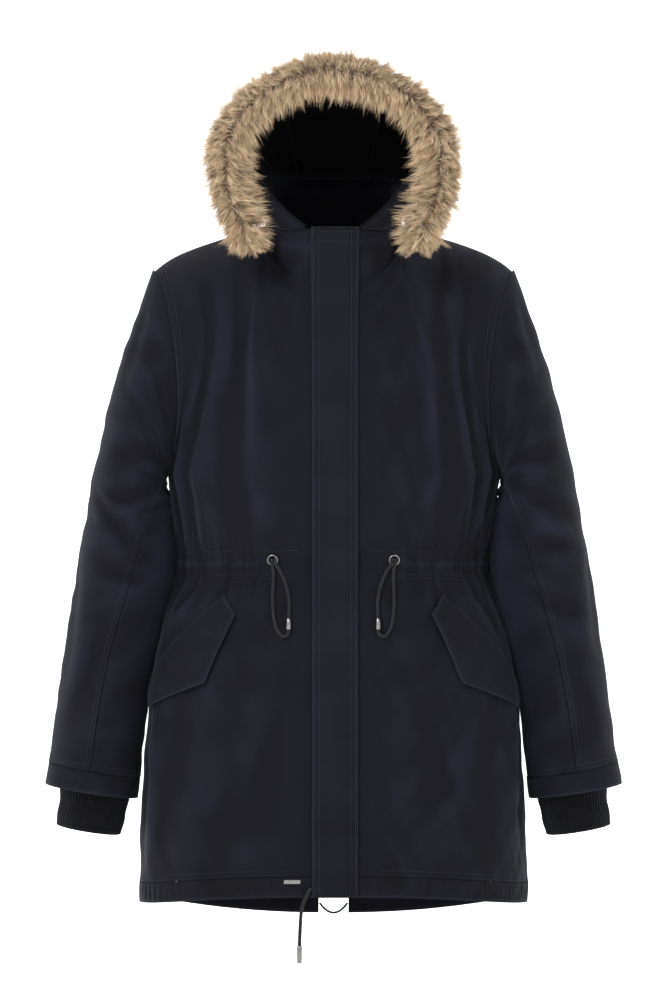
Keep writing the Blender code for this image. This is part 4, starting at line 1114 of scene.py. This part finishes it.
def armhole_stitches(mirror):
    """Rows beside the armhole, on the front and on the back, from the armpit up."""
    levels = np.linspace(0.02, 0.98, 200)
    for inward in (0.014, 0.048):
        for turn in (RIGHT_ANGLE * (1 - inward), RIGHT_ANGLE * (1 + inward)):
            stitch_row(body, np.full(200, turn), levels, mirror=mirror)


def sleeve_stitches(side, mirror):
    """Rows beside the two seams of a sleeve and round its hem."""
    relief = sleeve_relief(side)
    along = np.linspace(0.005, SLEEVE_SEAM - 0.004, 260)
    front_seam, back_seam = (np.radians(column) for column in rows_at(SLEEVE_SEAMS, along))
    for seam, way in ((front_seam, -1), (back_seam, 1)):
        for off in (0.03, 0.11):
            turn = seam + way * off
            stitch_row(sleeve, turn, along, relief=relief(turn, along), mirror=mirror)
    around = np.linspace(0, 2 * math.pi, 300)
    for along_cuff in (SLEEVE_SEAM - 0.003, SLEEVE_SEAM - 0.009):
        place = np.full(300, along_cuff)
        stitch_row(sleeve, around, place, relief=relief(around, place), mirror=mirror)


def seam_stitching():
    """Rows beside the casing, hem, armhole and sleeve seams, on both sides of the coat."""
    for _, side, mirror in SIDES:
        relief = body_relief(side)
        channel_stitches(relief, mirror)
        hem_stitches(relief, mirror)
        armhole_stitches(mirror)
        sleeve_stitches(side, mirror)


def hood_stitching():
    """Rows beside the hood's seams, along the stand, and round the opening inside and out."""
    back = np.linspace(0.02, 0.97, 160)
    for way in (-1, 1):
        for off in (0.012, 0.038):
            arc = way * (hood_seam(back) + off)
            stitch_row(hood, arc, back, relief=hood_relief(arc, back), lift=0.0011)
    for rise in (0.93, 0.80):
        for start, end in ((-85, 85), (95, 265)):
            turns = np.radians(np.linspace(start, end, 200))
            stitch_row(stand, turns, np.full(200, rise), lift=0.0012)
    arc = np.linspace(-0.97, 0.97, 400)
    for inset in (0.030, 0.062):
        place = np.full(400, inset)
        stitch_row(hood, arc, place, relief=hood_relief(arc, place), lift=0.0011)
        stitch_row(hood, arc, place, lift=-LINING_OFFSET - 0.0013)


# Fur: clumps of tapered hairs round the hood's opening, parted along the middle of the band
FUR_CLUMPS = 1500
HAIRS_PER_CLUMP = 16
HAIR_WIDTH = 0.00064
HAIR_STEPS = (0.0, 0.30, 0.58, 0.82, 1.0)
HAIR_TAPER = (0.9, 1.0, 0.75, 0.45, 0.08)
CORE_SHARE = 0.46  # of the band's half width, for the pelt under the hairs


def fur_sections(along):
    """Middle, outward and round directions and half sizes of the fur band at many places."""
    at = np.abs(along) * FUR[-1][0]
    x, y, z, band, depth = rows_at(FUR, at)
    step = 1e-3
    near, far = rows_at(FUR, np.maximum(at - step, 0)), rows_at(FUR, np.minimum(at + step, FUR[-1][0]))
    way = np.stack([far[0] - near[0], far[2] - near[2]], -1)
    way = way / np.linalg.norm(way, axis=-1, keepdims=True)
    sign = np.where(along < 0, -1, 1)
    outward = np.stack([-way[:, 1] * sign, 0 * sign, way[:, 0]], -1)
    down = np.stack([way[:, 0] * sign, 0 * sign, way[:, 1]], -1)
    return np.stack([x * sign, y, z], -1), outward, down, band, depth


def fur_hairs(way, seed):
    """Roots, directions, bends, lengths and tones of the hairs on one half of the band."""
    rng = np.random.default_rng(seed)
    along = way * rng.beta(1.0, 1.0, FUR_CLUMPS) * 0.995
    middle, outward, down, band, depth = fur_sections(along)
    turn = rng.uniform(math.radians(-28), math.radians(205), FUR_CLUMPS)
    forward = np.array([0, -1.0, 0])
    radial = outward * np.cos(turn)[:, None] + forward * np.sin(turn)[:, None]
    sweep = outward * (np.sign(np.cos(turn)) * 0.55)[:, None]
    ends = smoothstep((np.abs(along) - 0.86) / 0.14)[:, None]
    lean = smoothstep(np.abs(along) / 0.25)[:, None]
    aim = radial + sweep + down * (rng.normal(0.62, 0.16, FUR_CLUMPS)[:, None] * lean + 0.9 * ends)
    aim = aim / np.linalg.norm(aim, axis=-1, keepdims=True)
    reach = band * 1.22 - band * CORE_SHARE * 0.9
    reach = reach * rng.uniform(0.72, 1.10, FUR_CLUMPS) * (1 - 0.26 * np.abs(np.sin(turn)))
    outer, inner = np.clip(np.cos(turn), 0, 1), np.clip(-np.cos(turn), 0, 1)
    reach = reach * (1.12 + 0.12 * ends[:, 0]) * (1 - 0.24 * outer + 0.24 * inner)
    bend = rng.normal(0, 0.0035, (FUR_CLUMPS, 3)) + np.array([0, 0.002, -0.002])
    root = middle + outward * (band * CORE_SHARE * 0.85 * np.cos(turn))[:, None]
    root = root + forward * (depth * CORE_SHARE * 0.85 * np.sin(turn))[:, None]
    pale = rng.beta(1.6, 2.2, FUR_CLUMPS)
    parts = []
    for values in (root, aim, radial, bend, reach, pale):
        parts.append(np.repeat(values, HAIRS_PER_CLUMP, axis=0))
    root, aim, radial, bend, reach, pale = parts
    count = len(root)
    spread = rng.normal(0, 0.0034, (count, 3))
    root = root + spread - radial * np.sum(spread * radial, axis=-1, keepdims=True)
    aim = aim + rng.normal(0, 0.055, (count, 3))
    aim = aim / np.linalg.norm(aim, axis=-1, keepdims=True)
    reach = reach * rng.uniform(0.62, 1.08, count)
    return root, aim, radial, bend - spread * 0.84, reach, np.clip(pale + rng.normal(0, 0.12, count), 0, 1)


def add_hairs(name, way, seed, finish):
    root, aim, radial, bend, reach, pale = fur_hairs(way, seed)
    rng = np.random.default_rng(seed + 1)
    count, steps = len(root), len(HAIR_STEPS)
    facing_way = np.cross(aim, radial + rng.normal(0, 0.5, (count, 3)))
    facing_way /= np.maximum(np.linalg.norm(facing_way, axis=-1, keepdims=True), 1e-9)
    points, tones, hues = [], [], []
    for share, taper in zip(HAIR_STEPS, HAIR_TAPER):
        middle = root + aim * (reach * share)[:, None] + bend * share**2
        half = facing_way * (HAIR_WIDTH * taper / 2)
        points += [middle - half, middle + half]
        tones += [np.full(count, share)] * 2
        hues += [pale] * 2
    points = np.stack(points, axis=1)
    first = 2 * steps * np.arange(count)[:, None]
    faces = np.concatenate([first + np.array([k, k + 1, k + 3, k + 2]) for k in range(0, 2 * steps - 2, 2)])
    made = fill_mesh(name, points, faces, finish, tone=np.stack(tones, axis=1))
    hues = np.stack(hues, axis=1).ravel()
    made.data.attributes.new("pale", "FLOAT", "POINT").data.foreach_set("value", hues)
    return extra(made)


def add_pelt(finish):
    """The skin of the fur, under its hairs."""
    along = np.linspace(-0.985, 0.985, 90)
    middle, outward, _, band, depth = fur_sections(along)
    turns = np.linspace(0, 2 * math.pi, 24, endpoint=False)
    cosine, sine = rounded(turns, FUR_SQUARENESS)
    forward = np.array([0, -1.0, 0])
    grid_points = (
        middle[:, None] + outward[:, None] * (band * CORE_SHARE)[:, None, None] * cosine[None, :, None]
        + forward * (depth * CORE_SHARE)[:, None, None] * sine[None, :, None]
    )
    rows, columns = grid_points.shape[:2]
    i, j = np.meshgrid(np.arange(rows - 1), np.arange(columns), indexing="ij")
    k = (j + 1) % columns
    faces = np.stack([i * columns + j, i * columns + k, (i + 1) * columns + k, (i + 1) * columns + j], -1)
    made = fill_mesh("fur_pelt", grid_points, faces.reshape(-1, 4), finish, tone=np.zeros(rows * columns))
    made.data.attributes.new("pale", "FLOAT", "POINT")
    piece("fur_trim", made, "brown_fur")


# Cords and metal


def cord_curve(name, route, diameter, count, finish):
    curve = bpy.data.curves.new(name, "CURVE")
    curve.dimensions = "3D"
    curve.bevel_depth = diameter / 2
    curve.bevel_resolution = 6
    curve.use_fill_caps = True
    points = smooth_route(route, count)
    spline = curve.splines.new("POLY")
    spline.points.add(len(points) - 1)
    spline.points.foreach_set("co", np.column_stack([points, np.ones(len(points))]).ravel())
    spline.use_smooth = True
    curve.materials.append(finish)
    made = bpy.data.objects.new(name, curve)
    bpy.context.scene.collection.objects.link(made)
    return made, points


def free_cord(node, route, diameter, finish, count=120):
    made, points = cord_curve(f"{node}_braid", route, diameter, count, finish)
    piece(node, made, "black_cord")


def turned_mesh(name, centre, axis, profile, finish, count=56):
    centre, axis = np.array(centre), np.array(axis) / np.linalg.norm(axis)
    first = np.cross(axis, (0, 0, 1) if abs(axis[2]) < 0.9 else (1, 0, 0))
    first /= np.linalg.norm(first)
    second = np.cross(axis, first)
    turns = np.linspace(0, 2 * math.pi, count, endpoint=False)
    rings = np.array([
        [centre + axis * far + radius * (first * math.cos(t) + second * math.sin(t))
         for radius, far in profile]
        for t in turns
    ])
    n = len(profile)
    i, j = np.meshgrid(np.arange(count), np.arange(n), indexing="ij")
    i2, k = (i + 1) % count, (j + 1) % n
    faces = np.stack([i * n + j, i2 * n + j, i2 * n + k, i * n + k], -1).reshape(-1, 4)
    return fill_mesh(name, rings, faces, finish)


VENT_CORD = 0.0030


def rounded_tube(inner, outer, length, edge=0.00025):
    """Profile of a short tube with rounded rims, as radius and distance along."""
    return [(inner, edge), (inner + edge, 0), (outer - edge, 0), (outer, edge), (outer, length - edge),
            (outer - edge, length), (inner + edge, length), (inner, length - edge)]


def eyelet_ring(name, side, metal):
    """A ring of wire on the cloth, square to the front's slope there."""
    x, z = EYELET
    lean = EYELET_RADIUS
    slope_x = (front_y(x + lean, z) - front_y(x - lean, z)) / (2 * lean)
    slope_z = (front_y(x, z + lean) - front_y(x, z - lean)) / (2 * lean)
    out = np.array([side * slope_x, -1, slope_z])
    out /= np.linalg.norm(out)
    centre = np.array([side * x, front_y(x, z), z]) + out * (CLOTH / 2 + 2 * GAP + EYELET_WIRE)
    wire = [(EYELET_RADIUS + EYELET_WIRE * math.cos(t), EYELET_WIRE * math.sin(t))
            for t in np.linspace(0, 2 * math.pi, 16, endpoint=False)]
    piece(f"eyelet_{name}", turned_mesh(f"eyelet_{name}_ring", centre, out, wire, metal), "gunmetal")


def ferrule_tube(name, side, metal):
    x, low, high = FERRULE
    bottom = np.array([side * x, front_y(x, low) - CLOTH / 2 - FERRULE_OFF, low])
    top = np.array([side * x, front_y(x, high) - CLOTH / 2 - FERRULE_OFF, high])
    bore = WAIST_CORD / 2 + GAP + 0.0001
    profile = rounded_tube(bore, bore + FERRULE_WALL, float(np.linalg.norm(top - bottom)))
    tube = turned_mesh(f"ferrule_{name}_tube", bottom, top - bottom, profile, metal)
    return piece(f"ferrule_{name}", tube, "gunmetal")


def waist_fittings(cord, metal):
    for name, side, _ in SIDES:
        eyelet_ring(name, side, metal)
        tube = ferrule_tube(name, side, metal)
        free_cord(f"waist_cord_{name}", waist_route(side), WAIST_CORD, cord, 160)


def hem_fittings(cord, metal):
    route = hem_route()
    end = np.array(route[-1])
    radius, edge = TIP_RADIUS, 0.0006
    profile = [(0.0001, -GAP), (radius - edge, -GAP), (radius, -GAP - edge), (radius, -TIP_LENGTH + edge),
               (radius - edge, -TIP_LENGTH), (0.0001, -TIP_LENGTH)]
    tip = turned_mesh("hem_cord_tip_cap", end, (0, 0, 1), profile, metal)
    piece("hem_cord_tip", tip, "gunmetal")
    free_cord("hem_cord", route, HEM_CORD, cord, 60)


def vent_fitting(cord):
    """The cord that sags between the two back ends of the hem."""
    start = hem(np.array(math.pi - VENT_ANGLE - FRONT_START), np.array(0.5))
    middle_z = start[2] - VENT_CORD_SAG
    reach = start[0] - HALF_GAP - 0.0010
    vent = [(reach * s, start[1], middle_z + (start[2] - middle_z) * s * s) for s in np.linspace(-1, 1, 9)]
    free_cord("vent_cord", vent, VENT_CORD, cord, 40)


def hem_bar_plate(metal):
    x, z = HEM_BAR
    width, depth, height = HEM_BAR_SIZE
    bpy.ops.mesh.primitive_cube_add(size=1, location=(x, front_y(x, z) - CLOTH / 2 - 0.0010 - depth / 2, z))
    bar = bpy.context.object
    bar.name = "hem_bar_plate"
    bar.scale = (width, depth, height)
    bpy.ops.object.transform_apply(location=False, rotation=False, scale=True)
    bevel = bar.modifiers.new("rounded edges", "BEVEL")
    bevel.width = 0.0004
    bevel.segments = 3
    bar.data.materials.append(metal)
    piece("hem_bar", bar, "gunmetal")


# Materials


def new_material(name):
    made = bpy.data.materials.new(name)
    made.use_nodes = True
    tree = made.node_tree
    return made, tree, tree.nodes["Principled BSDF"]


def node(tree, kind, inputs=(), **settings):
    """A shader node with its settings and its inputs, each a value or another node's output."""
    made = tree.nodes.new(kind)
    for key, value in settings.items():
        setattr(made, key, value)
    for key, value in dict(inputs).items():
        if isinstance(value, bpy.types.NodeSocket):
            tree.links.new(value, made.inputs[key])
        else:
            made.inputs[key].default_value = value
    return made


def math_node(tree, operation, first, second):
    return node(tree, "ShaderNodeMath", {0: first, 1: second}, operation=operation).outputs[0]


def mix_colour(tree, share, first, second):
    mixed = node(tree, "ShaderNodeMix", data_type="RGBA")
    for slot_name, value in (("Factor_Float", share), ("A_Color", first), ("B_Color", second)):
        socket = next(s for s in mixed.inputs if s.identifier == slot_name)
        if isinstance(value, bpy.types.NodeSocket):
            tree.links.new(value, socket)
        else:
            socket.default_value = value
    return next(s for s in mixed.outputs if s.identifier == "Result_Color")


def woven(name, dark, light, ribs, sheen=0.35, roughness=0.82, bump=0.00012, direction="DIAGONAL"):
    """Cloth: fine ribs of the weave, slubs, a mottled dye, a painted highlight on its ridges and painted
    shade in its troughs, and paler worn edges.
    """
    made, tree, shader = new_material(name)
    uv = node(tree, "ShaderNodeUVMap", uv_map="cloth").outputs["UV"]
    weave = node(tree, "ShaderNodeTexWave", {"Vector": uv, "Scale": ribs, "Distortion": 1.2, "Detail": 1.0},
                 wave_type="BANDS", bands_direction=direction).outputs["Fac"]
    slubs = node(tree, "ShaderNodeTexNoise", {"Vector": uv, "Scale": 900.0, "Detail": 3.0}).outputs["Fac"]
    where = node(tree, "ShaderNodeTexCoord").outputs["Object"]
    dye = node(tree, "ShaderNodeTexNoise", {"Vector": where, "Scale": 9.0, "Detail": 5.0,
                                            "Roughness": 0.65}).outputs["Fac"]
    specks = node(tree, "ShaderNodeTexNoise", {"Vector": where, "Scale": 260.0, "Detail": 2.0}).outputs["Fac"]
    # The tone attribute paints light into the colour: a painted highlight on ridges, painted shade in
    # troughs, plus paler worn edges
    tone = node(tree, "ShaderNodeAttribute", attribute_name="tone").outputs["Fac"]
    share = math_node(tree, "MULTIPLY_ADD", tone, 0.75)
    share.node.inputs[2].default_value = -0.38
    share = math_node(tree, "ADD", share, math_node(tree, "MULTIPLY", dye, 0.45))
    share = math_node(tree, "ADD", share, math_node(tree, "MULTIPLY", specks, 0.35))
    share = math_node(tree, "ADD", share, math_node(tree, "MULTIPLY", weave, 0.18))
    share.node.use_clamp = True
    tree.links.new(mix_colour(tree, share, (*dark, 1), (*light, 1)), shader.inputs["Base Color"])
    height = math_node(tree, "ADD", weave, math_node(tree, "MULTIPLY", slubs, 0.8))
    height = math_node(tree, "ADD", height, math_node(tree, "MULTIPLY", specks, 2.2))
    relief = node(tree, "ShaderNodeBump", {"Height": height, "Distance": bump, "Strength": 1.0})
    tree.links.new(relief.outputs["Normal"], shader.inputs["Normal"])
    shader.inputs["Roughness"].default_value = roughness
    shader.inputs["Specular IOR Level"].default_value = 0.11
    shader.inputs["Sheen Weight"].default_value = sheen
    shader.inputs["Sheen Roughness"].default_value = 0.45
    shader.inputs["Sheen Tint"].default_value = (0.75, 0.80, 1.0, 1)
    return made


def fur_material():
    """Hair: dark at the root, warm brown along its length and cream at the tips of the palest hairs."""
    made, tree, shader = new_material("fur_hair")
    along = node(tree, "ShaderNodeAttribute", attribute_name="tone").outputs["Fac"]
    pale = node(tree, "ShaderNodeAttribute", attribute_name="pale").outputs["Fac"]
    ramp = node(tree, "ShaderNodeValToRGB", {"Fac": along})
    stops = ((0.0, (0.018, 0.010, 0.005)), (0.30, (0.120, 0.068, 0.030)), (0.62, (0.450, 0.292, 0.145)),
             (1.0, (0.740, 0.520, 0.275)))
    elements = ramp.color_ramp.elements
    while len(elements) < len(stops):
        elements.new(0.5)
    for element, (place, colour) in zip(elements, stops):
        element.position = place
        element.color = (*colour, 1)
    share = math_node(tree, "MULTIPLY", math_node(tree, "MULTIPLY", pale, along), 0.8)
    cream = mix_colour(tree, share, ramp.outputs["Color"], (0.82, 0.68, 0.47, 1))
    dark_share = math_node(tree, "MULTIPLY", math_node(tree, "SUBTRACT", 1.0, pale), 0.55)
    tree.links.new(mix_colour(tree, dark_share, cream, (0.090, 0.055, 0.030, 1)), shader.inputs["Base Color"])
    shader.inputs["Roughness"].default_value = 0.55
    shader.inputs["Specular IOR Level"].default_value = 0.35
    shader.inputs["Sheen Weight"].default_value = 0.25
    return made


def cord_material():
    """A round braid: slanting strands, in relief and in tone."""
    made, tree, shader = new_material("cord_braid")
    where = node(tree, "ShaderNodeTexCoord").outputs["Object"]
    strands = node(tree, "ShaderNodeTexWave", {"Vector": where, "Scale": 210.0, "Distortion": 2.0},
                   bands_direction="DIAGONAL").outputs["Fac"]
    fuzz = node(tree, "ShaderNodeTexNoise", {"Vector": where, "Scale": 700.0}).outputs["Fac"]
    braid = math_node(tree, "MULTIPLY", strands, 0.7)
    share = math_node(tree, "ADD", braid, math_node(tree, "MULTIPLY", fuzz, 0.3))
    tree.links.new(mix_colour(tree, share, (0.002, 0.002, 0.003, 1), (0.013, 0.013, 0.017, 1)),
                   shader.inputs["Base Color"])
    relief = node(tree, "ShaderNodeBump", {"Height": share, "Distance": 0.0004, "Strength": 1.0})
    tree.links.new(relief.outputs["Normal"], shader.inputs["Normal"])
    shader.inputs["Roughness"].default_value = 0.8
    shader.inputs["Specular IOR Level"].default_value = 0.2
    shader.inputs["Sheen Weight"].default_value = 0.05
    return made


def metal_material():
    made, tree, shader = new_material("gunmetal_worn")
    where = node(tree, "ShaderNodeTexCoord").outputs["Object"]
    wear = node(tree, "ShaderNodeTexNoise", {"Vector": where, "Scale": 400.0, "Detail": 4.0}).outputs["Fac"]
    colour = mix_colour(tree, wear, (0.07, 0.07, 0.07, 1), (0.30, 0.29, 0.28, 1))
    tree.links.new(colour, shader.inputs["Base Color"])
    spread = node(tree, "ShaderNodeMapRange", {"Value": wear, "To Min": 0.22, "To Max": 0.42})
    rough = spread.outputs["Result"]
    tree.links.new(rough, shader.inputs["Roughness"])
    shader.inputs["Metallic"].default_value = 1.0
    return made


# Studio

CAMERA_DISTANCE = 5.0
CAMERA_HEIGHT = -0.315
CAMERA_SIDE = 0.0033
LENS = 137.4
FLOOR = -0.905
FLOOR_FLAT = 11.0  # how far out the floor stays level
FLOOR_REACH = 13.8


def add_camera():
    camera = bpy.data.objects.new("camera", bpy.data.cameras.new("camera"))
    camera.data.lens = LENS
    camera.data.sensor_width = 36
    camera.location = (CAMERA_SIDE, -CAMERA_DISTANCE, CAMERA_HEIGHT)
    camera.rotation_euler = (RIGHT_ANGLE, 0, 0)
    bpy.context.scene.collection.objects.link(camera)
    bpy.context.scene.camera = camera


def add_light(name, place, aim, size, power):
    data = bpy.data.lights.new(name, "AREA")
    data.shape = "RECTANGLE"
    data.size, data.size_y = size
    data.energy = power
    light = bpy.data.objects.new(name, data)
    light.location = place
    way = np.array(aim, float) - np.array(place, float)
    light.rotation_euler = mathutils.Vector(way).to_track_quat("-Z", "Y").to_euler()
    bpy.context.scene.collection.objects.link(light)


def add_floor():
    """A pale floor that curves up far off all round, so that every view has it behind the coat."""
    across = np.linspace(-FLOOR_REACH, FLOOR_REACH, 60)
    x, y = np.meshgrid(across, across)
    climb = np.clip(np.hypot(x, y) - FLOOR_FLAT, 0, FLOOR_REACH - FLOOR_FLAT)
    points = np.stack([x, y, FLOOR + 0.45 * climb**2], axis=-1)
    count = len(across)
    first = (np.arange(count - 1)[:, None] * count + np.arange(count - 1)).reshape(-1, 1)
    pale, tree, shader = new_material("pale_floor")
    grain = node(tree, "ShaderNodeTexNoise", {"Scale": 30.0}).outputs["Fac"]
    colour = mix_colour(tree, grain, (0.86, 0.86, 0.86, 1), (0.90, 0.90, 0.90, 1))
    tree.links.new(colour, shader.inputs["Base Color"])
    shader.inputs["Roughness"].default_value = 0.9
    shader.inputs["Emission Color"].default_value = (1, 1, 1, 1)
    shader.inputs["Emission Strength"].default_value = 0.85
    floor = fill_mesh("floor", points.reshape(-1, 3), first + np.array([0, 1, count + 1, count]), pale)


def add_lighting():
    world = bpy.data.worlds.new("studio")
    world.use_nodes = True
    world.node_tree.nodes["Background"].inputs["Color"].default_value = (1, 1, 1, 1)
    world.node_tree.nodes["Background"].inputs["Strength"].default_value = 0.42
    bpy.context.scene.world = world
    bpy.context.scene.view_settings.view_transform = "Standard"
    add_light("key", (-1.8, -3.0, 2.2), (0, 0, -0.3), (1.4, 1.4), 150)
    add_light("fill", (2.4, -2.6, 0.8), (0, 0, -0.35), (2.0, 2.4), 34)
    add_light("top", (0, 0.4, 2.6), (0, 0, 0), (2.4, 1.6), 45)
    add_light("back", (0.0, 1.3, 1.6), (0, 2.6, -0.4), (3.5, 1.5), 60)


def main():
    add_camera()
    cord = cord_material()
    metal = metal_material()
    waist_fittings(cord, metal)
    hem_fittings(cord, metal)
    vent_fitting(cord)
    hem_bar_plate(metal)
    twill = woven("navy_twill_look", (0.0022, 0.0022, 0.0046), (0.0088, 0.0086, 0.0168), 290.0, 0.05)
    doubled = woven("navy_twill_doubled_look", (0.0020, 0.0020, 0.0040), (0.0082, 0.0081, 0.0152), 290.0,
                    0.05)
    lining = woven("black_lining_look", (0.0012, 0.0012, 0.0018), (0.0070, 0.0072, 0.0105), 420.0, 0.05)
    knit = woven("black_knit_look", (0.0012, 0.0012, 0.0014), (0.0062, 0.0062, 0.0068), 160.0, 0.10, 0.95,
                 0.0003, "Y")
    thread = woven("thread_look", (0.0260, 0.0270, 0.0380), (0.0700, 0.0720, 0.0950), 600.0, 0.05, 0.6)
    fur = fur_material()
    body_parts(twill, doubled)
    neck_parts(twill)
    hood_parts(twill, lining)
    sleeve_parts(twill, knit)
    placket_part(doubled)
    flap_parts(doubled)
    seam_stitching()
    hood_stitching()
    add_stitching(thread)
    add_pelt(fur)
    add_hairs("fur_left", 1, 101, fur)
    add_hairs("fur_right", -1, 202, fur)
    add_floor()
    add_lighting()


main()
bpy.context.view_layer.update()
